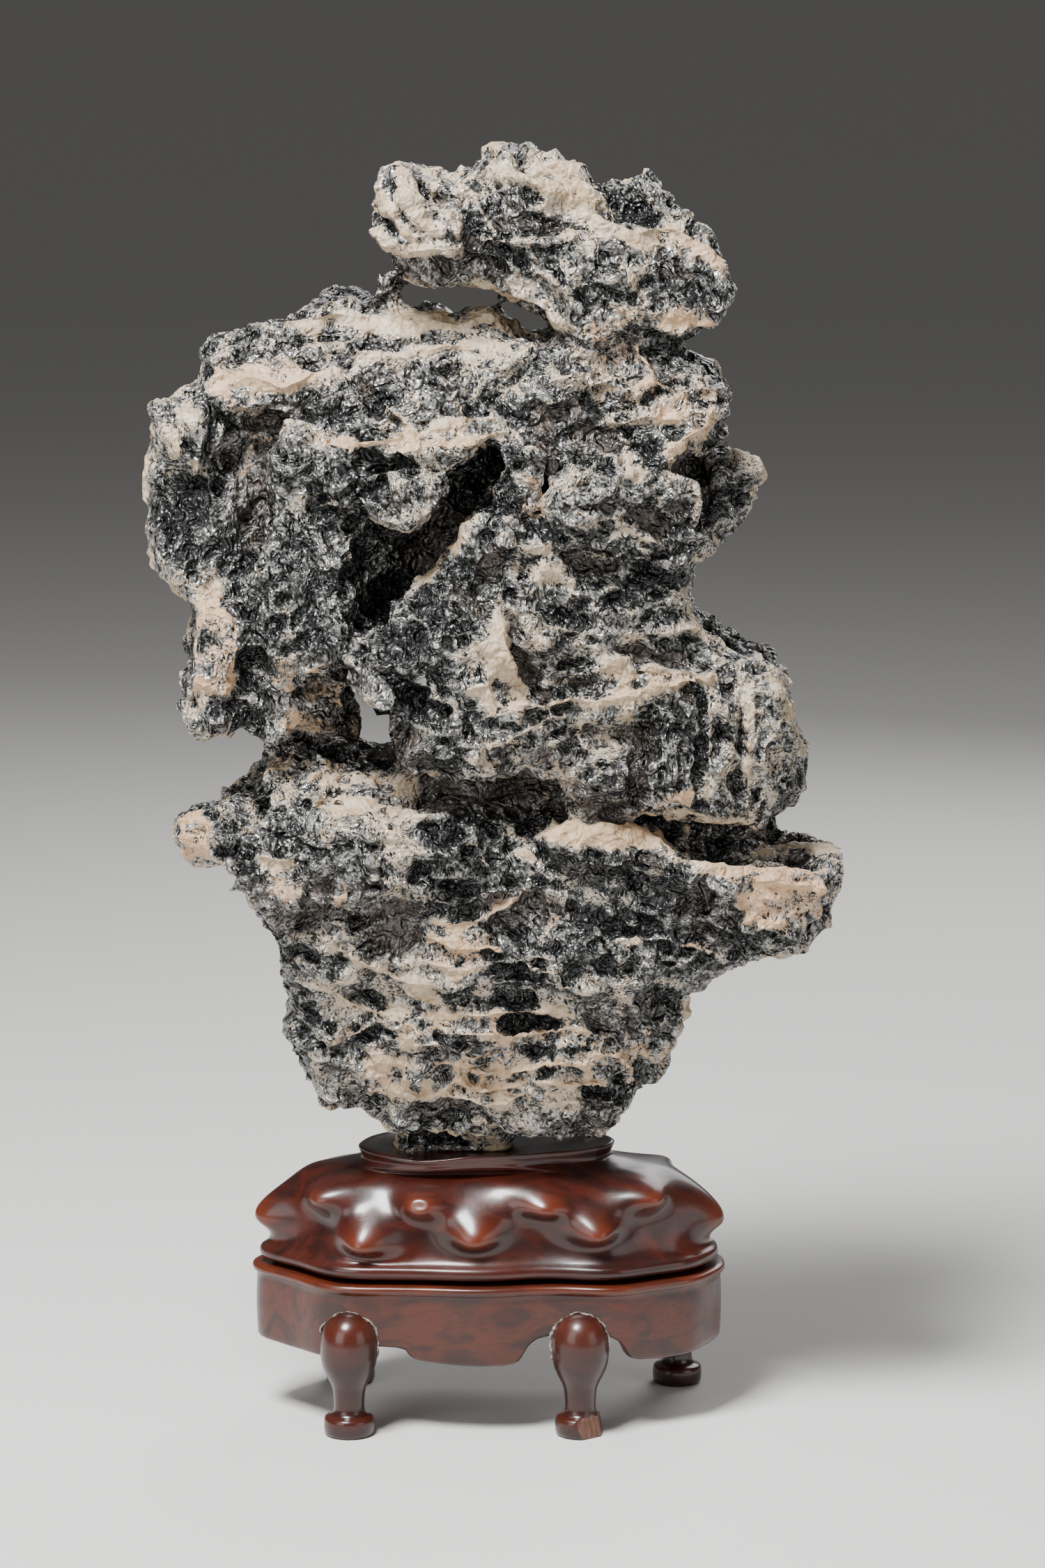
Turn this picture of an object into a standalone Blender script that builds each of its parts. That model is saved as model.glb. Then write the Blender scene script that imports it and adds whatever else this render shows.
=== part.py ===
"""A scholar stone on its carved hardwood stand.

Frame: metres, +Z up, +X to the right as the stone is usually shown, the front faces -Y. The origin is on
the table, under the middle of the whole. Outlines and places are written in millimetres and turned into
metres by MM.
"""

import math
import random

import bmesh
import bpy
from mathutils import Euler, Matrix, Vector

MM = 0.001

# Driving dimensions, mm
GAP = 0.3  # between pieces that touch
SQUARE = 0.01  # the edge of a plate that is not rounded

STONE_SEAT_Z = 88.7  # flat sawn underside of the stone
STONE_VOXEL = 2.2
STONE_TRIANGLES = 4700
STONE_ROUGHNESS = 2.6  # how far the coarse crags stand in and out
STONE_GRAIN = 13.0  # how wide they are

FLOOR_OF_SOCKET_Z = STONE_SEAT_Z - GAP
SOCKET_RIM_Z = 90.2
MOUND_UNDERSIDE_Z = 52.3
MOUND_LIP_INSET = 2.6  # the rounded lip along its lower edge
MOUND_LIP_HEIGHT = 3.4
MOUND_LIP_EDGE = 1.6
MOUND_STEP_EDGE = 4.0
MOUND_VOXEL = 1.5
MOUND_TRIANGLES = 1500
MOUND_HALF_LENGTH = 79.0
MOUND_HALF_DEPTH = 38.0
WAIST_INSET = 6.0  # the dark groove between mound and apron

APRON_TOP_Z = 50.0
APRON_BOTTOM_Z = 22.6
APRON_RIM_HEIGHT = 3.0  # the moulded flange along its top
APRON_RIM_OUT = 1.6
APRON_RIM_EDGE = 1.3
APRON_EDGE = 1.2
APRON_RECESS_Z = 36.0  # ceiling of the hollow underneath
APRON_WALL = 11.0
ARCH_TOP_Z = 33.0
ARCH_CUT_DEPTH = 26.0
# Each arch's ends left and right of its leg, at its top and then at the apron's lower edge
ARCH = (-14.0, 14.0, -22.0, 22.0)
ARCH_FRONT_LEFT = (-9.0, 13.0, -12.0, 25.0)

LEG_TOP_Z = 41.0
LEG_DOME_HEIGHT = 8.5
LEG_BULB_RADIUS = 9.5
LEG_NECK_RADIUS = 4.7
LEG_NECK_TOP_Z = 15.5
LEG_PAD_RADIUS = 8.3
LEG_PAD_HEIGHT = 6.2
LEG_PAD_EDGE = 1.4
LEG_SIDES = 14
CHIP_REACH = 5.9  # what is left of the chipped pad, from the leg's middle
CHIP_DEPTH = 6.0  # how far the chip's cutters reach from there
# Each leg: x, y, and the way its arch in the apron faces, in degrees from the front
LEG_PLACES = {
    "leg_front_left": (-47.0, -34.0, 0),
    "leg_front_right": (29.0, -34.0, 0),
    "leg_back_right": (63.0, 27.0, 152),
    "leg_back_left": (-49.0, 28.0, 200),
}
CHIPPED_LEG = "leg_front_right"

# The stand seen from above: the front half of its lobed outline (x, y) from left to right, mm
STAND_FRONT = (
    (-81, 0), (-79, -7), (-73, -13), (-66, -20), (-60, -28), (-54, -33.5), (-46, -36), (-36, -36.5),
    (-22, -37), (-8, -39), (3, -38.5), (13, -36), (24, -35.5), (36, -37.5), (44, -36.5), (51, -32.5),
    (59, -28), (68, -23), (74, -14), (77.5, -6), (78, 0),
)

# The stone's plates. Each is an outline (x, z) seen from the front, clockwise, then the places of its
# front and back faces (y), how many degrees its front leans back and turns to the right, and how wide
# its worn edge is. The slopes start from the middle of the outline.
PLATES = {
    "slab": (
        ((-30, 412), (-35, 409), (-38, 398), (-39, 393), (-37, 387), (-32, 383), (-30, 377), (-25, 374),
         (-7, 375), (1, 373), (8, 369), (16, 366), (27, 357), (45, 354), (61, 357), (66, 359), (74, 367),
         (77, 373), (76, 379), (71, 389), (66, 394), (59, 398), (47, 396), (38, 398), (35, 406), (32, 410),
         (27, 415), (17, 416), (12, 420), (4, 419), (-1, 418), (-3, 414), (-9, 411), (-19, 408), (-22, 410)),
        -25, 24, 14, 0, 7,
    ),
    "slab_front": (
        ((-34, 392), (-28, 402), (-10, 402), (8, 400), (30, 398), (60, 390), (68, 380), (62, 366), (45, 362),
         (28, 362), (14, 370), (2, 378), (-12, 382), (-28, 386)),
        -31, 0, 12, 0, 6,
    ),
    "slab_neck": (
        ((26, 364), (44, 368), (63, 362), (62, 350), (50, 342), (30, 346), (23, 356)),
        -26, 20, 0, 0, 5,
    ),
    "crown_core": (
        ((-93, 340), (-93, 355), (-84, 358), (-76, 360), (-62, 366), (-55, 372), (-42, 372), (-31, 367),
         (-17, 368), (-8, 366), (-2, 369), (7, 361), (21, 357), (45, 353), (61, 353), (69, 347), (76, 340),
         (73, 331), (71, 310), (64, 282), (0, 262), (-70, 262), (-76, 300), (-84, 325)),
        -17, 30, 8, 0, 7,
    ),
    "brow": (
        ((-93, 338), (-92, 353), (-76, 359), (-55, 370), (-30, 366), (-8, 365), (8, 359), (12, 340), (4, 328),
         (-15, 328), (-35, 325), (-52, 328), (-66, 337), (-80, 334)),
        -27, 0, 36, 0, 5,
    ),
    "crown_right": (
        ((4, 357), (25, 357), (45, 352), (61, 352), (69, 346), (75, 340), (72, 331), (69, 321), (40, 318),
         (14, 322), (6, 335)),
        -35, 10, 22, 0, 6,
    ),
    "far_lobe": (
        ((-96, 341), (-102, 341), (-108, 335), (-110, 325), (-113, 312), (-110, 304), (-112, 297),
         (-109, 285), (-99, 273), (-80, 268), (-76, 290), (-80, 315), (-84, 330)),
        -24, 12, 12, 0, 6,
    ),
    "left_column": (
        ((-71, 326), (-62, 334), (-56, 330), (-52, 322), (-42, 318), (-40, 300), (-44, 280), (-42, 256),
         (-60, 250), (-78, 258), (-76, 285), (-70, 300)),
        -36, 10, 8, 0, 6,
    ),
    "groove_ridge": (
        ((3, 312), (11, 300), (-6, 280), (-26, 262), (-41, 262), (-36, 272), (-14, 291)),
        -46, 0, 10, -12, 4,
    ),
    "right_lump": (
        ((21, 308), (30, 322), (45, 325), (58, 322), (67, 312), (70, 300), (72, 292), (62, 286), (45, 289),
         (28, 293), (19, 299)),
        -45, 0, 6, 12, 6,
    ),
    "right_knob": (
        ((70, 318), (79, 320), (86, 319), (86, 313), (83, 303), (77, 296), (68, 298), (66, 310)),
        -24, 12, 0, 20, 4,
    ),
    "under_lump": (
        ((2, 302), (20, 300), (45, 292), (64, 285), (62, 274), (62, 262), (-4, 262)),
        -38, 10, -6, 10, 5,
    ),
    "middle": (
        ((-42, 262), (-30, 275), (-12, 285), (5, 285), (30, 280), (62, 274), (64, 268), (76, 260), (85, 256),
         (92, 251), (96, 246), (98, 236), (103, 222), (104, 216), (96, 206), (88, 200), (60, 203), (48, 208),
         (20, 218), (0, 218), (-12, 219), (-29, 220), (-32, 229), (-37, 240), (-43, 249), (-48, 257)),
        -42, 38, 4, 8, 8,
    ),
    "middle_ridge": (
        ((-40, 262), (-10, 285), (3, 272), (9, 256), (2, 240), (-14, 227), (-30, 228), (-34, 240), (-44, 252)),
        -50, -20, 6, -8, 6,
    ),
    "middle_band": (
        ((-8, 244), (18, 247), (45, 246), (66, 256), (90, 252), (94, 240), (60, 240), (38, 236), (10, 234),
         (-6, 228)),
        -46, -20, 8, 8, 4,
    ),
    "rib_left": (
        ((50, 236), (56, 244), (66, 246), (67, 205), (57, 206), (50, 216)),
        -49, -20, -4, 8, 4,
    ),
    "rib_right": (
        ((69, 246), (80, 243), (81, 207), (69, 205)),
        -46, -20, -4, 16, 4,
    ),
    "flank_facet": (
        ((82, 249), (93, 249), (98, 236), (103, 222), (103, 216), (96, 207), (84, 203)),
        -38, -5, -8, 38, 3,
    ),
    "waist_block": (
        ((22, 228), (46, 226), (47, 206), (35, 202), (24, 205)),
        -40, 0, -12, 0, 4,
    ),
    "hanging_block": (
        ((-95, 273), (-80, 275), (-78, 262), (-82, 250), (-84, 240), (-84, 231), (-96, 229), (-101, 234),
         (-101, 242), (-98, 250), (-98, 263)),
        -38, -2, 2, -6, 4,
    ),
    "dark_block": (
        ((-80, 268), (-66, 264), (-62, 250), (-63, 238), (-69, 230), (-80, 231), (-84, 240), (-79, 252)),
        -33, 4, -4, 0, 4,
    ),
    "neck": (
        ((-76, 266), (-44, 264), (-48, 252), (-45, 240), (-43, 228), (-42, 214), (-74, 214), (-74, 225),
         (-73, 232), (-78, 248)),
        -17, 16, -4, 0, 5,
    ),
    "waist": (
        ((-34, 222), (80, 212), (86, 196), (60, 188), (-10, 188), (-34, 200)),
        -25, 26, -10, 0, 6,
    ),
    "left_ledge": (
        ((-90, 206), (-86, 210), (-77, 210), (-73, 220), (-60, 225), (-45, 223), (-34, 220), (-10, 214),
         (2, 211), (4, 196), (-10, 186), (-40, 180), (-74, 177), (-82, 184), (-91, 190)),
        -34, 28, 34, 0, 5,
    ),
    "left_ledge_edge": (
        ((-91, 205), (-75, 206), (-30, 204), (-8, 209), (-5, 197), (-28, 186), (-60, 185), (-80, 189),
         (-92, 195)),
        -44, 0, 10, -4, 5,
    ),
    "right_ledge": (
        ((18, 200), (45, 203), (60, 195), (88, 191), (93, 190), (107, 190), (113, 187), (114, 181),
         (112, 176), (108, 168), (101, 158), (79, 156), (60, 158), (30, 172), (16, 186)),
        -34, 28, 6, 0, 5,
    ),
    "right_ledge_ridge": (
        ((17, 201), (40, 202), (54, 196), (70, 190), (108, 188), (109, 180), (80, 180), (52, 187), (20, 192)),
        -46, -10, 16, 6, 4,
    ),
    "right_ledge_end": (
        ((82, 186), (111, 184), (111, 176), (104, 163), (92, 160), (80, 172)),
        -42, -5, 0, 10, 5,
    ),
    "lower": (
        ((-79, 182), (-76, 173), (-70, 162), (-69, 143), (-66, 130), (-58, 120), (-56, 110), (-43, 107),
         (-34, 99), (10, 97), (27, 96), (34, 97), (46, 105), (52, 112), (53, 122),
         (59, 127), (65, 136), (62, 145), (72, 150), (80, 157), (100, 160), (100, 180), (20, 198), (-60, 192)),
        -33, 34, -9, 0, 9,
    ),
    "lower_shoulder": (
        ((-66, 172), (-30, 178), (20, 176), (48, 168), (50, 150), (20, 146), (-20, 150), (-60, 152)),
        -41, -10, 4, 0, 7,
    ),
    "lower_left": (
        ((-69, 155), (-55, 158), (-42, 148), (-40, 124), (-50, 112), (-57, 114), (-64, 128), (-69, 142)),
        -30, 10, -6, -18, 6,
    ),
    "lower_right": (
        ((40, 168), (72, 164), (80, 158), (62, 146), (65, 138), (58, 128), (44, 132), (36, 150)),
        -36, 10, -14, 16, 6,
    ),
    "foot_left": (
        ((-36, 116), (10, 116), (10, 98), (6, 84), (-33, 84)),
        -12, 15, -14, 0, 4,
    ),
    "foot_right": (
        ((8, 120), (44, 120), (47, 107), (36, 97), (12, 97)),
        -29, 20, -10, 0, 6,
    ),
}

# Lumps on the stone: middle (x, y, z), half sizes (x, y, z) and how sharp they are, mm and 0 to 1
LUMPS = (
    ((47, -4, 403), (13, 15, 9), 0.12),
    ((55, -2, 396), (10, 12, 5), 0.12),
    ((-34, -3, 370), (5, 6, 8), 0.12),
    ((-1, -2, 365), (5, 6, 5), 0.12),
    ((-29, -18, 396), (10, 12, 15), 0.2),
    ((-11, -19, 394), (11, 11, 12), 0.2),
    ((11, -17, 401), (15, 12, 13), 0.2),
    ((33, -23, 380), (17, 12, 14), 0.2),
    ((57, -20, 375), (15, 12, 13), 0.2),
    ((25, -24, 367), (12, 10, 8), 0.2),
    ((-95, -17, 325), (14, 16, 16), 0.16),
    ((-102, -10, 309), (10, 12, 10), 0.16),
    ((-92, -13, 288), (14, 15, 16), 0.16),
    ((-62, -31, 322), (9, 11, 12), 0.12),
    ((-48, -23, 338), (15, 12, 11), 0.16),
    ((-20, -27, 337), (19, 12, 10), 0.16),
    ((-22, -34, 325), (30, 13, 7), 0.12),
    ((-46, -34, 315), (11, 12, 9), 0.16),
    ((-25, -37, 309), (18, 15, 11), 0.12),
    ((9, -34, 317), (8, 13, 12), 0.16),
    ((24, -28, 338), (14, 12, 12), 0.2),
    ((46, -26, 339), (15, 12, 12), 0.2),
    ((63, -18, 337), (10, 13, 9), 0.2),
    ((38, -38, 312), (17, 12, 12), 0.2),
    ((57, -34, 302), (13, 12, 12), 0.2),
    ((30, -29, 272), (19, 14, 13), 0.2),
    ((52, -26, 268), (14, 14, 12), 0.2),
    ((14, -35, 262), (14, 12, 13), 0.2),
    ((80, -20, 248), (13, 14, 10), 0.2),
    ((-20, -41, 256), (17, 12, 15), 0.2),
    ((-29, -36, 240), (10, 12, 12), 0.16),
    ((14, -40, 232), (15, 11, 11), 0.2),
    ((36, -38, 222), (13, 11, 12), 0.2),
    ((-94, -14, 196), (11, 18, 10), 0.05),
    ((-76, -30, 197), (14, 14, 9), 0.2),
    ((-48, -34, 197), (17, 13, 9), 0.2),
    ((-18, -36, 201), (16, 13, 10), 0.2),
    ((2, -30, 190), (15, 12, 13), 0.2),
    ((-28, -33, 184), (18, 12, 10), 0.2),
    ((94, -26, 174), (14, 14, 11), 0.16),
    ((66, -23, 176), (18, 13, 11), 0.2),
    ((34, -28, 180), (17, 13, 11), 0.2),
    ((-50, -26, 166), (16, 13, 11), 0.2),
    ((-12, -31, 164), (20, 13, 12), 0.2),
    ((26, -30, 158), (19, 12, 12), 0.2),
    ((54, -24, 156), (16, 14, 10), 0.2),
    ((-53, -20, 136), (13, 15, 14), 0.2),
    ((-30, -24, 134), (17, 12, 15), 0.2),
    ((0, -27, 136), (18, 12, 13), 0.2),
    ((28, -25, 130), (16, 12, 14), 0.2),
    ((44, -18, 122), (10, 14, 12), 0.2),
    ((-16, -17, 112), (20, 12, 10), 0.2),
    ((22, -17, 109), (17, 12, 8), 0.2),
)

# The unseen back: rows of crags at these heights, from x to x, standing out of the plane y
BACK_ROWS = (
    (392, -20, 52, 16), (370, 26, 56, 16), (348, -76, 54, 25), (325, -88, 58, 22), (300, -88, 56, 20),
    (275, -58, 48, 25), (248, -26, 76, 35), (224, -18, 80, 35), (198, -70, 84, 25), (172, -56, 80, 26),
    (146, -50, 50, 28), (122, -38, 38, 25),
)
BACK_SPACING = 26.0
BACK_CRAG = (17.0, 11.0, 15.0)

# Through holes that stay open: middle and half sizes, mm
ARCH_HOLE = ((-37.5, 0, 233), (4.6, 70, 11.5), 10)
SLAB_GAP = ((-12, 0, 371), (14, 70, 3.2), 2)
# The deep slanting groove in the front, cut to this depth
DEEP_GROOVE = ((-19, -45, 297), (33, 24, 4.6), -52)

# What the knobs are drawn out of: the stand's outline, this much smaller, up to these heights
MOUND_STEPS = ((5, 59), (9, 67), (12, 75), (15, 83))
# The carved knobs of the mound: the tip (x, y, z), then the half width and the half height
KNOBS = (
    ((-80, -4, 68), 10, 8),
    ((-60, -24, 77), 11, 8),
    ((-45, -36, 65), 9, 8),
    ((-25, -34, 77), 8, 7),
    ((-6, -38, 68), 10, 8),
    ((18, -35, 78), 10, 7),
    ((36, -37, 68), 10, 7),
    ((56, -27, 78), 10, 8),
    ((78, -4, 68), 11, 8),
    ((58, 24, 78), 12, 8),
    ((-58, 25, 76), 12, 8),
    ((-28, 36, 70), 11, 8),
    ((2, 35, 75), 11, 8),
    ((33, 35, 69), 11, 8),
)
KNOB_REACH = (12.0, 22.0)  # a knob draws out all of the skin up to the first depth, none past the second
KNOB_DROOP = 3.0
# The dish that holds the stone: its rim, then the socket inside it (x, y)
DISH_RIM = (
    (-46, -4), (-42, -12), (-32, -19), (-20, -22), (-6, -22), (6, -19), (16, -14), (28, -11), (38, -7),
    (42, 2), (38, 12), (26, 19), (8, 23), (-12, 24), (-30, 20), (-42, 10),
)
DISH_BASE_Z = 70.0
DISH_EDGE = 2.0
SOCKET_INSET = 3.2

MATERIALS = {
    "limestone": ((0.055, 0.058, 0.062), 0.42),
    "rosewood_carved": ((0.105, 0.022, 0.012), 0.22),
    "rosewood_apron": ((0.150, 0.036, 0.018), 0.28),
    "rosewood_turned": ((0.075, 0.018, 0.012), 0.24),
}


def clear_scene():
    for obj in list(bpy.data.objects):
        bpy.data.objects.remove(obj)


def new_collection(name):
    collection = bpy.data.collections.new(name)
    bpy.context.scene.collection.children.link(collection)
    return collection


def new_material(name):
    colour, roughness = MATERIALS[name]
    material = bpy.data.materials.new(name)
    material.use_nodes = True
    shader = material.node_tree.nodes["Principled BSDF"]
    shader.inputs["Base Color"].default_value = (*colour, 1)
    shader.inputs["Roughness"].default_value = roughness
    shader.inputs["Metallic"].default_value = 0
    return material


def add_object(name, shape, collection, material=None):
    """Makes an object from a bmesh, with its faces pointing outwards, and frees the bmesh."""
    shape.normal_update()
    bmesh.ops.recalc_face_normals(shape, faces=shape.faces)
    mesh = bpy.data.meshes.new(name)
    shape.to_mesh(mesh)
    shape.free()
    obj = bpy.data.objects.new(name, mesh)
    collection.objects.link(obj)
    if material:
        mesh.materials.append(new_material(material))
    return obj


def evaluated_mesh(obj):
    bpy.context.view_layer.update()
    graph = bpy.context.evaluated_depsgraph_get()
    return bpy.data.meshes.new_from_object(obj.evaluated_get(graph))


def cut(obj, cutter, operation="DIFFERENCE"):
    cutter.hide_render = True
    cutter.display_type = "WIRE"
    modifier = obj.modifiers.new(f"{operation.lower()} {cutter.name}", "BOOLEAN")
    modifier.operation = operation
    modifier.object = cutter


def outline_plate(points, thickness, edge, steps=1):
    """A flat outline in local X and Y, in mm, centred on local Z, with a rounded edge, as a bmesh."""
    curve = bpy.data.curves.new("outline", "CURVE")
    curve.dimensions = "2D"
    curve.fill_mode = "BOTH"
    curve.extrude = max(thickness / 2 - edge, 0.01) * MM
    curve.bevel_depth = edge * MM
    curve.bevel_resolution = steps
    curve.offset = -edge * MM
    spline = curve.splines.new("POLY")
    spline.points.add(len(points) - 1)
    for point, (x, y) in zip(spline.points, points):
        point.co = (x * MM, y * MM, 0, 1)
    spline.use_cyclic_u = True
    guide = bpy.data.objects.new("outline", curve)
    bpy.context.scene.collection.objects.link(guide)
    mesh = evaluated_mesh(guide)
    bpy.data.objects.remove(guide)
    shape = bmesh.new()
    shape.from_mesh(mesh)
    bmesh.ops.remove_doubles(shape, verts=shape.verts, dist=0.00001)
    return shape


def add_plate(stone, outline, front, back, lean, turn, edge):
    """Stands an outline up, faces it forwards and slopes its front."""
    plate = outline_plate(outline, back - front, edge)
    upright = Matrix.Rotation(math.radians(90), 4, "X")
    middle = Matrix.Translation((0, (front + back) / 2 * MM, 0))
    plate.transform(middle @ upright)
    x_middle = sum(x for x, _ in outline) / len(outline) * MM
    z_middle = sum(z for _, z in outline) / len(outline) * MM
    for vert in plate.verts:
        forward = (back * MM - vert.co.y) / ((back - front) * MM)
        slope = math.tan(math.radians(lean)) * (vert.co.z - z_middle)
        slope += math.tan(math.radians(turn)) * (vert.co.x - x_middle)
        vert.co.y += forward * slope
    append_shape(stone, plate)


def append_shape(whole, piece):
    mesh = bpy.data.meshes.new("piece")
    piece.to_mesh(mesh)
    piece.free()
    whole.from_mesh(mesh)
    bpy.data.meshes.remove(mesh)


def add_lump(stone, middle, half, sharpness, dice):
    """An angular lump: a twenty-sided block, turned at random, whose corners are pulled in and out."""
    lump = bmesh.new()
    bmesh.ops.create_icosphere(lump, subdivisions=1, radius=1.12)
    lump.transform(Euler([dice.uniform(0, 6.28) for _ in range(3)]).to_matrix().to_4x4())
    for vert in lump.verts:
        vert.co *= 1 + dice.uniform(-sharpness, sharpness)
    size = Matrix.Diagonal((*(side * MM for side in half), 1))
    lump.transform(Matrix.Translation(Vector(middle) * MM) @ size)
    append_shape(stone, lump)


def add_back(stone, dice):
    for height, left, right, depth in BACK_ROWS:
        count = round((right - left) / BACK_SPACING) + 1
        for step in range(count):
            x = left + (right - left) * step / max(count - 1, 1) + dice.uniform(-5, 5)
            z = height + dice.uniform(-6, 6)
            half = [side * dice.uniform(0.8, 1.2) for side in BACK_CRAG]
            add_lump(stone, (x, depth + dice.uniform(-4, 5), z), half, 0.28, dice)


def box_cutter(name, middle, half, collection, turn=0.0):
    shape = bmesh.new()
    bmesh.ops.create_cube(shape, size=2)
    size = Matrix.Diagonal((*(side * MM for side in half), 1))
    spin = Matrix.Rotation(math.radians(turn), 4, "Y")
    shape.transform(Matrix.Translation(Vector(middle) * MM) @ spin @ size)
    return add_object(name, shape, collection)


def make_stone(collection, cutters):
    dice = random.Random(11)
    shape = bmesh.new()
    for outline, front, back, lean, turn, edge in PLATES.values():
        add_plate(shape, outline, front, back, lean, turn, edge)
    for middle, half, sharpness in LUMPS:
        add_lump(shape, middle, half, sharpness, dice)
    add_back(shape, dice)
    rough = add_object("rough_stone", shape, cutters)
    one_skin = rough.modifiers.new("one skin", "REMESH")
    one_skin.mode = "VOXEL"
    one_skin.voxel_size = STONE_VOXEL * MM
    blended = rough.modifiers.new("blended", "SMOOTH")
    blended.factor = 0.5
    blended.iterations = 4
    crags = bpy.data.textures.new("crags", "VORONOI")
    crags.noise_scale = STONE_GRAIN * MM
    crags.distance_metric = "DISTANCE"
    weathered = rough.modifiers.new("weathered", "DISPLACE")
    weathered.texture = crags
    weathered.texture_coords = "LOCAL"
    weathered.strength = STONE_ROUGHNESS * MM
    weathered.mid_level = 0.5
    fine_mesh = evaluated_mesh(rough)
    bpy.data.objects.remove(rough)

    stone = bpy.data.objects.new("stone", fine_mesh)
    collection.objects.link(stone)
    fine_mesh.materials.clear()
    fine_mesh.materials.append(new_material("limestone"))
    fewer = stone.modifiers.new("facets", "DECIMATE")
    fewer.ratio = STONE_TRIANGLES / (2 * len(fine_mesh.polygons))
    fewer.use_collapse_triangulate = True
    middle, half, turn = ARCH_HOLE
    cut(stone, box_cutter("arch_hole", middle, half, cutters, turn))
    middle, half, turn = SLAB_GAP
    cut(stone, box_cutter("slab_gap", middle, half, cutters, turn))
    middle, half, turn = DEEP_GROOVE
    cut(stone, box_cutter("deep_groove", middle, half, cutters, turn))
    sawn = box_cutter("sawn_underside", (0, 0, STONE_SEAT_Z - 30), (90, 90, 30), cutters)
    cut(stone, sawn)
    return stone


def stand_outline(inset=0.0):
    """The stand's whole outline seen from above, moved inwards by inset. The back mirrors the front."""
    front = list(STAND_FRONT)
    back = [(x, -y) for x, y in reversed(front[1:-1])]
    corners = [Vector(point) for point in front + back]
    moved = []
    for index, corner in enumerate(corners):
        along = corners[(index + 1) % len(corners)] - corners[index - 1]
        inwards = Vector((-along.y, along.x)).normalized()
        moved.append(tuple(corner + inwards * inset))
    return moved


def flat_plate(outline, bottom, top, edge, steps=2):
    """A plate that lies flat between two heights."""
    shape = outline_plate(outline, top - bottom, edge, steps)
    shape.transform(Matrix.Translation((0, 0, (bottom + top) / 2 * MM)))
    return shape


def smaller_outline(inset):
    """The stand's outline with this much less at its ends and at its front, in proportion between them."""
    across, deep = 1 - inset / MOUND_HALF_LENGTH, 1 - inset / MOUND_HALF_DEPTH
    return [(x * across, y * deep) for x, y in stand_outline()]


def draw_out_knobs(mesh):
    """Draws the skin out to each knob's tip, as with proportional editing."""
    near, far = (depth * MM for depth in KNOB_REACH)
    for tip, half_width, half_height in KNOBS:
        tip = Vector(tip) * MM
        outwards = Vector((tip.x, tip.y * MOUND_HALF_LENGTH / MOUND_HALF_DEPTH, 0)).normalized()
        sideways = Vector((-outwards.y, outwards.x, 0))
        for vert in mesh.vertices:
            away = vert.co - tip
            depth = -away.dot(outwards)
            if depth < 0 or depth > far:
                continue
            spread = (away.dot(sideways) / (half_width * MM)) ** 2 + (away.z / (half_height * MM)) ** 2
            pull = min((far - depth) / (far - near), 1) / (1 + spread**2)
            vert.co += outwards * depth * pull
            vert.co.z -= KNOB_DROOP * MM * pull * pull


def make_mound(collection, cutters):
    """The carved top of the stand: knobs that run into one another, a dish on top and a waist below."""
    base = MOUND_UNDERSIDE_Z - 2 * MOUND_LIP_EDGE
    shape = flat_plate(stand_outline(MOUND_LIP_INSET), base, MOUND_UNDERSIDE_Z + MOUND_LIP_HEIGHT, MOUND_LIP_EDGE)
    for inset, top in MOUND_STEPS:
        append_shape(shape, flat_plate(smaller_outline(inset), base, top, MOUND_STEP_EDGE))
    append_shape(shape, flat_plate(DISH_RIM, DISH_BASE_Z, SOCKET_RIM_Z, DISH_EDGE))
    rough = add_object("rough_mound", shape, cutters)
    one_skin = rough.modifiers.new("one skin", "REMESH")
    one_skin.mode = "VOXEL"
    one_skin.voxel_size = MOUND_VOXEL * MM
    worn = rough.modifiers.new("worn smooth", "SMOOTH")
    worn.factor = 0.5
    worn.iterations = 14
    fine_mesh = evaluated_mesh(rough)
    bpy.data.objects.remove(rough)
    draw_out_knobs(fine_mesh)

    mound = bpy.data.objects.new("mound", fine_mesh)
    collection.objects.link(mound)
    fine_mesh.materials.clear()
    fine_mesh.materials.append(new_material("rosewood_carved"))
    fewer = mound.modifiers.new("facets", "DECIMATE")
    fewer.ratio = MOUND_TRIANGLES / (2 * len(fine_mesh.polygons))
    fewer.use_collapse_triangulate = True
    flat = box_cutter("flat_underside", (0, 0, MOUND_UNDERSIDE_Z - 20), (100, 60, 20), cutters)
    cut(mound, flat)
    waist = flat_plate(stand_outline(WAIST_INSET), APRON_TOP_Z + GAP, MOUND_UNDERSIDE_Z + 2, SQUARE, 0)
    cut(mound, add_object("waist", waist, cutters), "UNION")
    inner = [tuple(Vector(point) * (1 - SOCKET_INSET / Vector(point).length)) for point in DISH_RIM]
    socket = flat_plate(inner, FLOOR_OF_SOCKET_Z, SOCKET_RIM_Z + 10, SQUARE, 0)
    cut(mound, add_object("socket", socket, cutters))
    return mound


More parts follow.
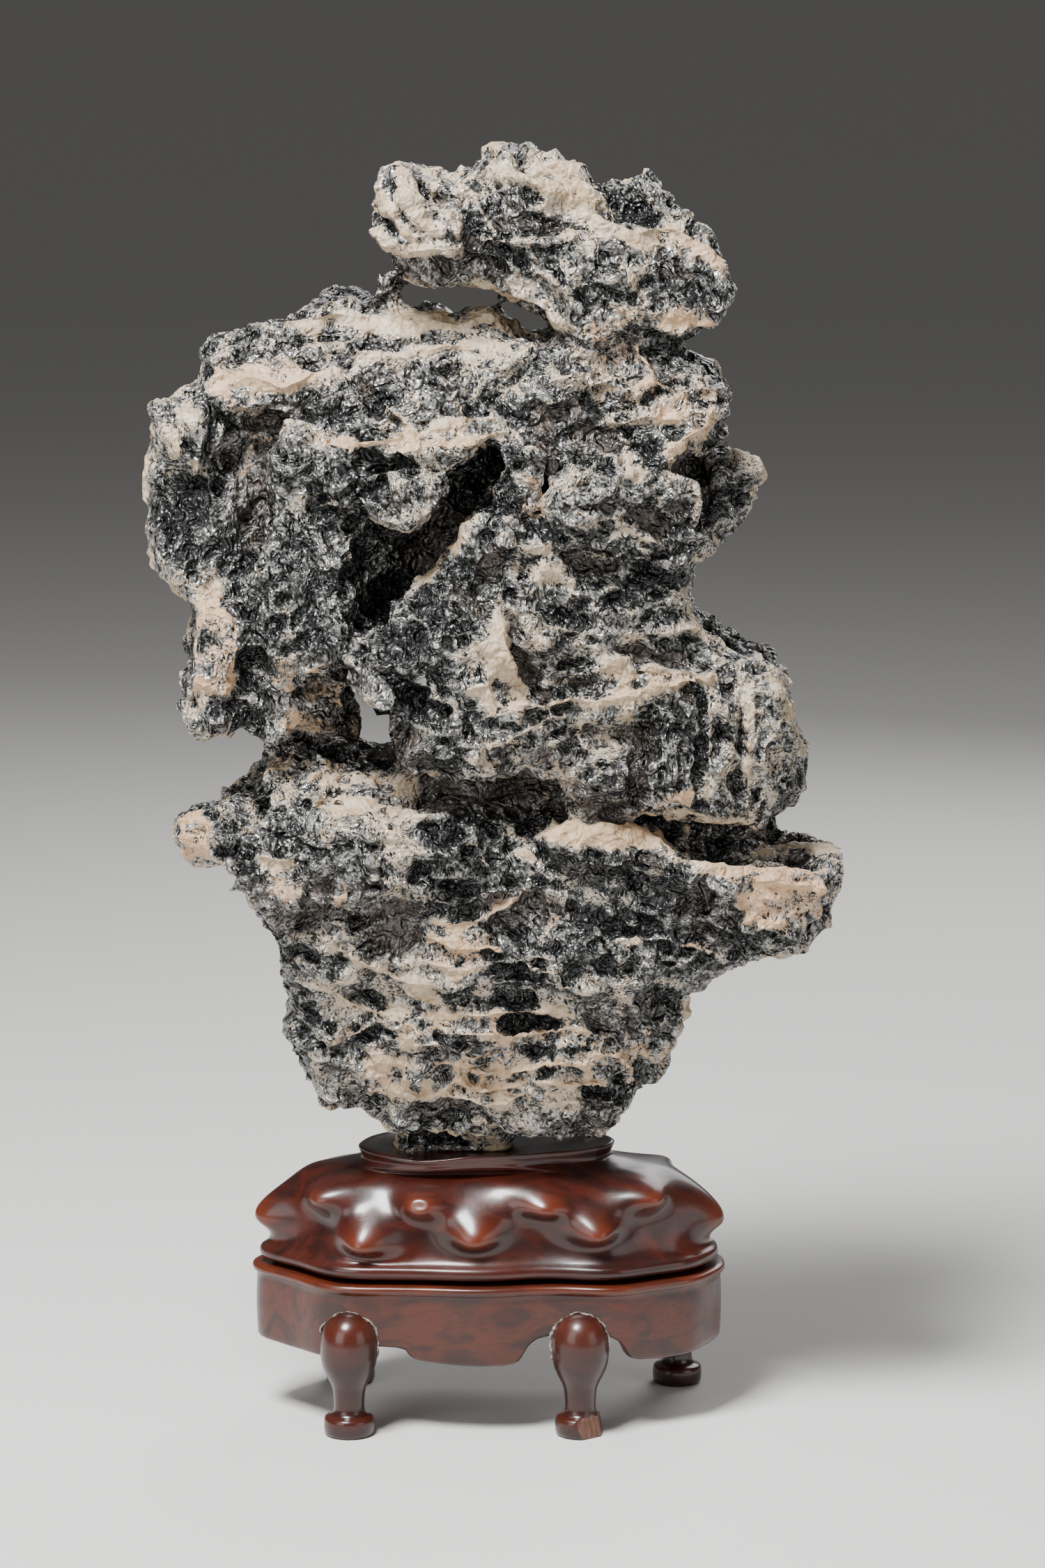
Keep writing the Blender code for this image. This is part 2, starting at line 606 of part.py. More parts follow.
def leg_profile(grow=0.0):
    """Radius and height of the turned leg, top to bottom, mm."""
    points = []
    shoulder_z = LEG_TOP_Z - LEG_DOME_HEIGHT
    for step in range(5):  # the domed top
        angle = math.radians(22.5 * step)
        height = shoulder_z + LEG_DOME_HEIGHT * math.cos(angle)
        points.append((LEG_BULB_RADIUS * math.sin(angle), height))
    for step in range(1, 6):  # the long taper into the neck
        share = step / 5
        ease = (1 - math.cos(math.pi * share)) / 2
        radius = LEG_BULB_RADIUS + (LEG_NECK_RADIUS - LEG_BULB_RADIUS) * ease
        points.append((radius, shoulder_z + (LEG_NECK_TOP_Z - shoulder_z) * share))
    points.append((LEG_NECK_RADIUS + 0.5, LEG_PAD_HEIGHT + LEG_PAD_EDGE))
    points.append((LEG_PAD_RADIUS - LEG_PAD_EDGE, LEG_PAD_HEIGHT))
    points.append((LEG_PAD_RADIUS - 0.3 * LEG_PAD_EDGE, LEG_PAD_HEIGHT - 0.3 * LEG_PAD_EDGE))
    points.append((LEG_PAD_RADIUS, LEG_PAD_HEIGHT - LEG_PAD_EDGE))
    points.append((LEG_PAD_RADIUS - 0.4 * LEG_PAD_EDGE, 0))
    points.append((0, 0))
    return [(radius + grow if radius > 0 else 0, height) for radius, height in points]


def turned(name, profile, collection):
    shape = bmesh.new()
    verts = [shape.verts.new((radius * MM, 0, height * MM)) for radius, height in profile]
    for first, second in zip(verts, verts[1:]):
        shape.edges.new((first, second))
    mesh = bpy.data.meshes.new(name)
    shape.to_mesh(mesh)
    shape.free()
    obj = bpy.data.objects.new(name, mesh)
    collection.objects.link(obj)
    spin = obj.modifiers.new("turned", "SCREW")
    spin.steps = spin.render_steps = LEG_SIDES
    spin.use_merge_vertices = True
    spin.merge_threshold = 0.00005
    return obj


def make_apron(collection, cutters):
    """The skirt under the mound, with a lobe between each two arches and a flange along its top."""
    outline = stand_outline(APRON_RIM_OUT)
    shape = flat_plate(outline, APRON_BOTTOM_Z, APRON_TOP_Z - APRON_EDGE / 2, APRON_EDGE, 0)
    apron = add_object("apron", shape, collection, "rosewood_apron")
    flange = flat_plate(stand_outline(), APRON_TOP_Z - APRON_RIM_HEIGHT, APRON_TOP_Z, APRON_RIM_EDGE, 1)
    cut(apron, add_object("flange", flange, cutters), "UNION")
    hollow = flat_plate(stand_outline(APRON_WALL), APRON_BOTTOM_Z - 5, APRON_RECESS_Z, SQUARE, 0)
    cut(apron, add_object("hollow", hollow, cutters))
    for name, (x, y, facing) in LEG_PLACES.items():
        arch = bmesh.new()
        bmesh.ops.create_cube(arch, size=2)
        ends = ARCH_FRONT_LEFT if name == "leg_front_left" else ARCH
        for vert in arch.verts:
            above = vert.co.z > 0
            end = ends[(0 if above else 2) + (vert.co.x > 0)]
            height = ARCH_TOP_Z if above else APRON_BOTTOM_Z - 2
            vert.co = (end * MM, vert.co.y * ARCH_CUT_DEPTH * MM, height * MM)
        outwards = Matrix.Rotation(math.radians(facing), 4, "Z")
        arch.transform(Matrix.Translation((x * MM, y * MM, 0)) @ outwards)
        cut(apron, add_object(f"arch_{name}", arch, cutters))
        room = turned(f"room_for_{name}", leg_profile(GAP), cutters)
        room.location = (x * MM, y * MM, GAP * MM)
        cut(apron, room)
    return apron


def make_leg(name, collection, cutters):
    x, y, _ = LEG_PLACES[name]
    leg = turned(name, leg_profile(), collection)
    leg.location = (x * MM, y * MM, 0)
    leg.data.materials.append(new_material("rosewood_turned"))
    leg.data.shade_smooth()
    if name == CHIPPED_LEG:
        middle = CHIP_REACH + CHIP_DEPTH
        half_height = LEG_PAD_HEIGHT / 2 + 1
        right = (CHIP_DEPTH, LEG_PAD_RADIUS + CHIP_DEPTH, half_height)
        front = (LEG_PAD_RADIUS, CHIP_DEPTH, half_height)
        cut(leg, box_cutter("chip_right", (x + middle, y, half_height - 1.5), right, cutters))
        cut(leg, box_cutter("chip_front", (x + LEG_PAD_RADIUS, y - middle, half_height - 1.5), front, cutters))
    return leg


def main():
    clear_scene()
    stone_on_stand = new_collection("scholar_stone_on_stand")
    cutters = new_collection("cutters")
    make_stone(stone_on_stand, cutters)
    make_mound(stone_on_stand, cutters)
    make_apron(stone_on_stand, cutters)
    for name in LEG_PLACES:
        make_leg(name, stone_on_stand, cutters)


if __name__ == "__main__":
    main()
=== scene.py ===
"""Looks of a scholar stone on its carved hardwood stand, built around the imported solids.

Heights and places below are in millimetres and are turned into metres by MM, unless a line says otherwise.
The stone is sculpted on a finer copy of its solid: blocks, crusts, ridges and grooves are pushed along the
skin, and where each finish lies is kept in vertex attributes that the materials read. Ridges, grooves and
patches of the front are placed as the eye meets them from the front, on the plane FRONT_PLANE_Y.
"""

import math

import bmesh
import bpy
import numpy as np
from mathutils import Euler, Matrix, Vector


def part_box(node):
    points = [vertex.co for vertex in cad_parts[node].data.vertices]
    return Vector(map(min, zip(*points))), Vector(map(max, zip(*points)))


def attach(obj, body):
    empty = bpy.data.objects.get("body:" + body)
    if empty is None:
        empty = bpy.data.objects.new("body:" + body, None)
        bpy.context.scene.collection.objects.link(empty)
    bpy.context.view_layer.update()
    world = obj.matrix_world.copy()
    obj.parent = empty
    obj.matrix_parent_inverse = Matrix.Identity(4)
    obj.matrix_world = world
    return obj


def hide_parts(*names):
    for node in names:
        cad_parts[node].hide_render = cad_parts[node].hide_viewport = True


bl_info = {
    "name": "Scholar Stone on Stand",
    "version": (1, 0, 0),
    "blender": (4, 5, 0),
    "location": "View3D > Sidebar > Scholar Stone",
    "description": "Sculpts and finishes a scholar stone and its carved stand",
    "category": "Add Mesh",
}

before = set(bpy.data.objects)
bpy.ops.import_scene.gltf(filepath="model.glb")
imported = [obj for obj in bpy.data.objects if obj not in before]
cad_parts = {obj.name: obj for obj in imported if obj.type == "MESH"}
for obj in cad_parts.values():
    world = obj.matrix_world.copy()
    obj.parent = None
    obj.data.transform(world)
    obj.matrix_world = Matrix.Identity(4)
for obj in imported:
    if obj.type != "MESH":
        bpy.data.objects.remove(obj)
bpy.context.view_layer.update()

MM = 0.001
FLOOR_Z = 0.0
# The floor's width in metres and cells. It rises far away, so that no horizon shows behind the object: how
# high, and between which distances from the middle, in metres
FLOOR_WIDTH = 60
FLOOR_RISE = 2600.0
FLOOR_SLOPE = (12, 30)
WORLD_TINT = (0.78, 0.775, 0.77)
WORLD_STRENGTH = 0.13
# The soft lights: name, place and width, in metres. They all face the middle of the object
LIGHTS = (
    ("key", (-0.34, -0.52, 1.25), 0.4),
    ("fill", (1.2, -0.9, 0.55), 0.9),
    ("front", (-0.95, -1.15, 0.65), 0.9),
    ("rim", (0.5, 1.1, 0.9), 0.8),
)
LIT_MIDDLE = (0, 0, 0.22)
EYE = np.array((10.0, -1420.0, 423.0))
EYE_PITCH = 8.49
LENS = 100.0
SENSOR = 36.0
FRONT_PLANE_Y = -35.0

# The stone
SKIN_VOXEL = 1.15
SKIN_TRIANGLES = 192000
# How readily faces are merged, for each range of how hidden from the front they are, from 0 to 1
MERGED = ((0.3, -1, 0.25), (0.6, 0.25, 0.75), (1.0, 0.75, 2))
# The skin stays SKIN_MARGIN inside the solid's box and is sunk by SKIN_DROP. Its sawn underside stays flat:
# the relief starts and is whole at the two heights of SEAT_FADE over it
SKIN_MARGIN = 0.2
SKIN_DROP = 0.7
SEAT_Z = 88.7
SEAT_FADE = (0.3, 1.8)
# How boldly the ridges and the filled hollows below are made, and how far back a hollow is filled
RIDGE_GAIN = 1.25
FILL_GAIN = 1.3
FILL_BACK_Y = 8
# Shades mixed into the finishes: grime on the crust, pores, splinters, and dirt in the glue
CRUST_SHADE = (0.20, 0.155, 0.12)
PORE_SHADE = (0.008, 0.003, 0.002)
SPLINTER_SHADE = (0.085, 0.036, 0.023)
GLUE_SHADE = (0.07, 0.045, 0.035)

# Ridges that stand out of the front: height, half width, then the line (x, z) along them
RIDGES = (
    # the left end of the slab
    (2.2, 2.0, ((-35, 407), (-32, 400), (-27, 393), (-22, 390))),
    (2.4, 2.2, ((-29, 411), (-26, 404), (-22, 397), (-15, 391))),
    (2.0, 2.2, ((-22, 410), (-18, 402), (-12, 396), (-8, 390))),
    (2.4, 2.4, ((-39, 394), (-34, 391), (-28, 387), (-18, 388), (-8, 386))),
    (1.8, 2.0, ((-12, 408), (-6, 403), (-3, 398), (0, 394))),
    # the slab
    (1.8, 2.4, ((-3, 413), (4, 410), (12, 408), (17, 404), (17, 399))),
    (1.6, 2.2, ((12, 420), (15, 413), (24, 411), (32, 405))),
    (1.5, 1.6, ((-6, 392), (2, 389), (10, 388), (18, 389), (27, 391))),
    (0.9, 0.7, ((15, 380), (20, 376), (27, 370))),
    (0.9, 0.7, ((22, 384), (26, 379), (30, 375))),
    (1.2, 1.2, ((39, 384), (43, 379), (47, 373), (45, 366))),
    (1.6, 2.2, ((30, 399), (36, 394), (45, 391), (55, 393))),
    (1.4, 1.6, ((56, 393), (64, 389), (70, 384), (73, 378))),
    (1.6, 1.8, ((2, 379), (8, 373), (15, 370), (22, 364), (28, 360))),
    # the brow and its lower edge
    (1.6, 1.6, ((-57, 329), (-50, 326), (-40, 325), (-34, 326), (-28, 328), (-20, 330), (-10, 332),
                (2, 334))),
    (1.9, 1.5, ((-36, 323), (-28, 323), (-20, 322), (-10, 324), (-3, 326), (5, 330))),
    (1.3, 1.0, ((-22, 321), (-15, 318), (-8, 315))),
    (1.3, 1.0, ((-35, 340), (-31, 335), (-27, 331))),
    (2.0, 2.2, ((-88, 350), (-78, 346), (-66, 343), (-56, 347), (-42, 349))),
    (1.2, 1.4, ((-60, 366), (-45, 367), (-25, 364), (-8, 364), (2, 366))),
    (1.4, 1.8, ((-45, 350), (-30, 352), (-16, 355), (-4, 357))),
    (2.4, 3.4, ((-66, 331), (-62, 333), (-57, 329), (-52, 324), (-42, 322))),
    (1.4, 1.0, ((-55, 305), (-48, 307), (-43, 310), (-38, 315), (-28, 318), (-19, 318))),
    (1.6, 1.2, ((-38, 307), (-34, 302), (-27, 300), (-21, 303), (-16, 309))),
    (1.2, 0.9, ((-50, 297), (-46, 295), (-42, 296))),
    # the bright edge right of the deep groove
    (2.4, 2.4, ((-2, 307), (-10, 298), (-19, 287), (-28, 276), (-35, 268))),
    (1.5, 1.0, ((1, 313), (5, 308), (9, 304), (15, 301), (21, 305))),
    # the right of the crown
    (1.8, 1.8, ((22, 357), (30, 356), (33, 350), (31, 345))),
    (1.6, 1.8, ((18, 349), (24, 346), (31, 347), (34, 342))),
    (1.8, 2.0, ((38, 331), (46, 333), (54, 334), (60, 333))),
    (1.6, 1.4, ((28, 334), (34, 336), (40, 333))),
    (2.2, 2.2, ((54, 323), (60, 326), (66, 330), (70, 336), (71, 342), (66, 344))),
    (1.5, 1.4, ((38, 329), (44, 326), (52, 325))),
    (1.6, 1.8, ((45, 356), (50, 350), (52, 344), (60, 342))),
    # the right lump
    (1.9, 2.2, ((19, 301), (23, 309), (28, 316), (36, 322), (46, 324))),
    (1.3, 1.3, ((43, 323), (45, 314))),
    (1.1, 1.1, ((47, 319), (49, 311))),
    (1.1, 0.9, ((33, 317), (40, 313), (46, 309))),
    (2.0, 1.4, ((24, 302), (32, 303), (40, 302), (46, 297), (52, 295), (58, 291))),
    (1.6, 1.2, ((25, 297), (30, 291), (37, 289), (44, 293), (52, 291))),
    (1.2, 1.2, ((52, 315), (58, 317), (64, 313), (67, 305), (66, 299))),
    (1.7, 2.6, ((11, 292), (16, 294), (18, 291))),
    (1.6, 2.6, ((15, 286), (22, 284), (28, 281))),
    # the middle
    (1.5, 1.2, ((11, 269), (20, 267), (30, 265), (38, 266), (48, 263))),
    (1.6, 1.6, ((50, 265), (60, 266), (70, 264), (80, 262))),
    (2.0, 1.4, ((5, 241), (15, 241), (25, 243), (35, 242), (45, 244), (55, 247), (65, 250), (76, 251))),
    (1.5, 1.6, ((48, 253), (56, 254), (66, 252), (75, 251))),
    (1.7, 1.4, ((-6, 228), (3, 229), (11, 233), (18, 237), (27, 238))),
    (1.4, 1.1, ((-4, 236), (8, 239), (20, 240))),
    (1.0, 0.7, ((-20, 265), (-11, 265), (-3, 266))),
    (1.0, 0.7, ((-20, 261), (-14, 259), (-8, 257))),
    (1.4, 1.3, ((-28, 275), (-25, 271), (-21, 268))),
    (2.0, 3.0, ((2, 270), (3, 262), (7, 253), (12, 245))),
    (1.3, 1.5, ((-15, 250), (-8, 247), (0, 248), (2, 241))),
    (1.3, 1.3, ((-26, 250), (-20, 247), (-12, 241), (-10, 233))),
    (1.6, 1.8, ((28, 228), (36, 227), (42, 224))),
    (1.3, 1.5, ((70, 246), (71, 235), (69, 222), (68, 210))),
    (1.3, 1.5, ((83, 236), (83, 226), (82, 214))),
    # the left ledge
    (1.6, 1.6, ((-86, 213), (-76, 211), (-66, 214), (-56, 211), (-44, 210), (-32, 206), (-24, 206))),
    (1.5, 1.4, ((-88, 209), (-86, 202), (-82, 196), (-79, 190))),
    (1.4, 1.0, ((-84, 209), (-81, 203), (-75, 199))),
    (1.6, 1.7, ((-76, 193), (-69, 191), (-62, 192))),
    (1.4, 1.5, ((-60, 203), (-52, 206), (-42, 205), (-32, 201))),
    (1.7, 1.6, ((-38, 190), (-33, 195), (-28, 203), (-20, 207))),
    (1.6, 1.3, ((-32, 190), (-26, 193), (-19, 193))),
    (1.8, 1.6, ((-39, 187), (-31, 184), (-23, 181), (-12, 178))),
    (1.7, 1.5, ((-8, 204), (-6, 198), (-3, 192), (0, 186))),
    (1.7, 1.6, ((-1, 204), (6, 200), (12, 195), (18, 190))),
    # the right ledge
    (2.6, 2.8, ((18, 199), (26, 200), (34, 201), (42, 202), (50, 197), (58, 192))),
    (2.0, 1.8, ((58, 191), (68, 189), (78, 188), (90, 187), (108, 187))),
    (1.8, 1.8, ((83, 195), (92, 195), (102, 194), (110, 191))),
    (1.6, 2.2, ((84, 184), (94, 183), (104, 183), (109, 181))),
    (1.4, 1.6, ((20, 188), (28, 182), (38, 177))),
    # the lower body
    (2.0, 1.6, ((-21, 172), (-12, 171), (-4, 172), (4, 176), (12, 183), (22, 181), (30, 178))),
    (1.7, 1.7, ((-68, 167), (-56, 167), (-46, 160), (-36, 155), (-24, 150), (-18, 146))),
    (1.5, 1.5, ((-68, 152), (-58, 150), (-48, 146), (-40, 142), (-28, 141))),
    (1.7, 1.4, ((-22, 166), (-12, 163), (0, 162), (10, 160), (20, 160))),
    (1.8, 1.4, ((-22, 158), (-12, 156), (0, 157), (8, 158), (16, 155), (24, 154))),
    (1.7, 1.5, ((-24, 140), (-14, 141), (-4, 140), (4, 142), (14, 142), (24, 144))),
    (1.6, 1.2, ((-20, 137), (-8, 134), (4, 134), (16, 135), (28, 136), (38, 133))),
    (1.7, 1.3, ((-44, 124), (-34, 126), (-24, 124), (-14, 125), (-4, 122), (6, 122), (16, 124), (30, 124))),
    (1.6, 1.3, ((-46, 132), (-38, 139), (-30, 138), (-28, 131))),
    (1.7, 1.2, ((-36, 119), (-28, 115), (-18, 114), (-12, 119), (-4, 116), (4, 116), (10, 119))),
    (1.6, 1.1, ((-10, 113), (-2, 110), (5, 111), (10, 115))),
    (1.5, 1.1, ((-6, 116), (0, 114), (6, 114))),
    (1.6, 1.4, ((16, 119), (24, 117), (32, 118), (40, 115))),
    (1.4, 1.3, ((22, 130), (32, 128), (42, 126), (48, 119))),
    (1.5, 1.3, ((40, 150), (46, 144), (50, 136), (50, 126))),
    (1.4, 1.2, ((34, 163), (44, 165), (54, 166), (66, 163), (74, 160))),
    (1.2, 1.0, ((26, 112), (34, 112), (42, 110))),
)
# Ways through the stone that its relief leaves open: the middle (x, z) and half sizes
KEPT_OPEN = (
    ((-36, 230), (8, 12)),
    ((-10, 372), (22, 5)),
)
# Hollows of the solid that are shallower in the stone: how much is filled, half width, and the line
FILLS = (
    (4.0, 5.0, ((15, 327), (14, 316), (12, 303))),
    (4.0, 4.0, ((20, 325), (20, 313), (19, 303))),
    (4.5, 4.0, ((-31, 251), (-33, 243))),
)
# Grooves and pits: depth, half width, then the line along them
GROOVES = (
    (5.0, 5.0, ((3, 321), (-5, 311), (-14, 299), (-23, 287), (-31, 276), (-36, 270))),
    (2.6, 1.7, ((-31, 406), (-28, 400), (-25, 395))),
    (3.2, 2.0, ((-35, 399), (-33, 394), (-31, 391))),
    (2.6, 2.0, ((-18, 404), (-15, 399), (-11, 394))),
    (2.0, 1.8, ((-9, 405), (-5, 401), (1, 400))),
    (2.4, 2.2, ((2, 396), (8, 395), (13, 396))),
    (2.0, 2.0, ((17, 390), (20, 394), (25, 395))),
    (1.4, 2.2, ((-8, 390), (-4, 386), (2, 386), (8, 385))),
    (1.6, 1.4, ((45, 398), (49, 396), (54, 397))),
    (2.2, 2.4, ((58, 382), (62, 379))),
    (2.0, 2.4, ((62, 374), (66, 369))),
    (2.0, 2.2, ((26, 374), (30, 370), (32, 366))),
    (1.2, 1.8, ((-91, 340), (-86, 335), (-82, 328))),
    (3.0, 2.6, ((-78, 330), (-74, 332), (-68, 336), (-60, 335), (-56, 331))),
    (2.6, 3.2, ((-74, 326), (-74, 314), (-75, 300))),
    (2.4, 2.4, ((-41, 348), (-39, 344), (-37, 341))),
    (2.2, 2.2, ((-23, 330), (-18, 328))),
    (1.6, 1.8, ((-97, 326), (-94, 321))),
    (3.0, 3.0, ((-31, 307), (-25, 307))),
    (2.0, 2.2, ((-46, 318), (-42, 313), (-39, 310))),
    (2.0, 2.0, ((-45, 303), (-42, 296), (-40, 286))),
    (1.6, 3.4, ((17, 326), (17, 318), (14, 309), (13, 305))),
    (2.4, 3.4, ((24, 337), (28, 336))),
    (2.6, 3.0, ((33, 329), (38, 326))),
    (2.2, 2.6, ((14, 330), (18, 334))),
    (2.6, 3.0, ((66, 336), (67, 332))),
    (2.4, 2.6, ((40, 358), (46, 355))),
    (2.0, 1.6, ((28, 304), (34, 305), (40, 304))),
    (2.4, 2.0, ((44, 306), (50, 302), (55, 297))),
    (2.2, 2.2, ((57, 305), (63, 304))),
    (3.4, 2.2, ((60, 322), (66, 318), (70, 310), (70, 300))),
    (2.8, 1.8, ((21, 292), (28, 287), (36, 285), (42, 287))),
    (2.4, 2.6, ((-2, 286), (3, 287))),
    (2.0, 2.2, ((9, 284), (12, 283))),
    (2.4, 1.9, ((-11, 280), (-6, 275), (-1, 272))),
    (4.2, 2.6, ((6, 269), (8, 262), (11, 254), (15, 248), (19, 244))),
    (2.6, 2.2, ((38, 260), (45, 259), (53, 257), (61, 256))),
    (2.0, 1.4, ((46, 265), (49, 269), (52, 273))),
    (2.4, 2.0, ((30, 234), (34, 232))),
    (2.0, 2.2, ((40, 233), (45, 233))),
    (2.8, 1.8, ((51, 238), (48, 230), (46, 220), (45, 209))),
    (2.2, 2.2, ((52, 235), (58, 232), (62, 234))),
    (2.2, 1.0, ((67, 245), (68, 232), (66, 218), (67, 206))),
    (2.2, 1.1, ((80, 242), (81, 230), (79, 218), (80, 208))),
    (2.6, 2.6, ((87, 246), (87, 240))),
    (2.6, 2.4, ((-14, 220), (-4, 218), (8, 216), (18, 216))),
    (2.4, 3.4, ((17, 226), (18, 220))),
    (2.4, 2.0, ((49, 209), (54, 205), (59, 202))),
    (2.4, 2.0, ((-34, 184), (-36, 190), (-33, 197))),
    (2.0, 1.6, ((-66, 200), (-60, 196), (-54, 190))),
    (2.2, 2.0, ((-25, 192), (-22, 187), (-18, 183))),
    (2.2, 2.0, ((46, 197), (52, 192), (58, 189))),
    (3.0, 6.0, ((6, 175), (18, 176))),
    (2.6, 5.0, ((-33, 172), (-30, 164))),
    (2.2, 5.0, ((-60, 183), (-50, 181))),
    (2.2, 3.0, ((29, 187), (40, 187), (50, 183))),
    (2.0, 3.0, ((62, 180), (68, 176))),
    (1.8, 1.6, ((-14, 131), (-6, 129), (4, 127))),
    (1.8, 1.4, ((2, 138), (14, 138))),
    (1.6, 1.4, ((10, 129), (20, 129), (30, 129))),
    (1.8, 1.4, ((30, 141), (35, 136), (40, 134))),
    (1.8, 1.4, ((-26, 110), (-14, 111), (-8, 108))),
    (2.2, 2.6, ((-40, 114), (-34, 112))),
)
# The slopes along which blocks and crust run, in degrees, and how drawn out they are: level, slanting and
# upright, and where on the front the last two lie
FLOWS = ((-7, 1.35), (-42, 1.4), (83, 1.35))
SLANTING_PATCHES = (
    ((12, 392), (72, 34), 0, 1.0),
    ((-12, 262), (34, 28), 0, 1.0),
    ((-28, 318), (16, 22), 0, 1.0),
)
UPRIGHT_PATCHES = (
    ((-66, 292), (30, 40), 0, 1.0),
    ((-95, 310), (18, 34), 0, 1.0),
    ((68, 224), (30, 32), 0, 1.0),
    ((-84, 250), (20, 26), 0, 1.0),
)
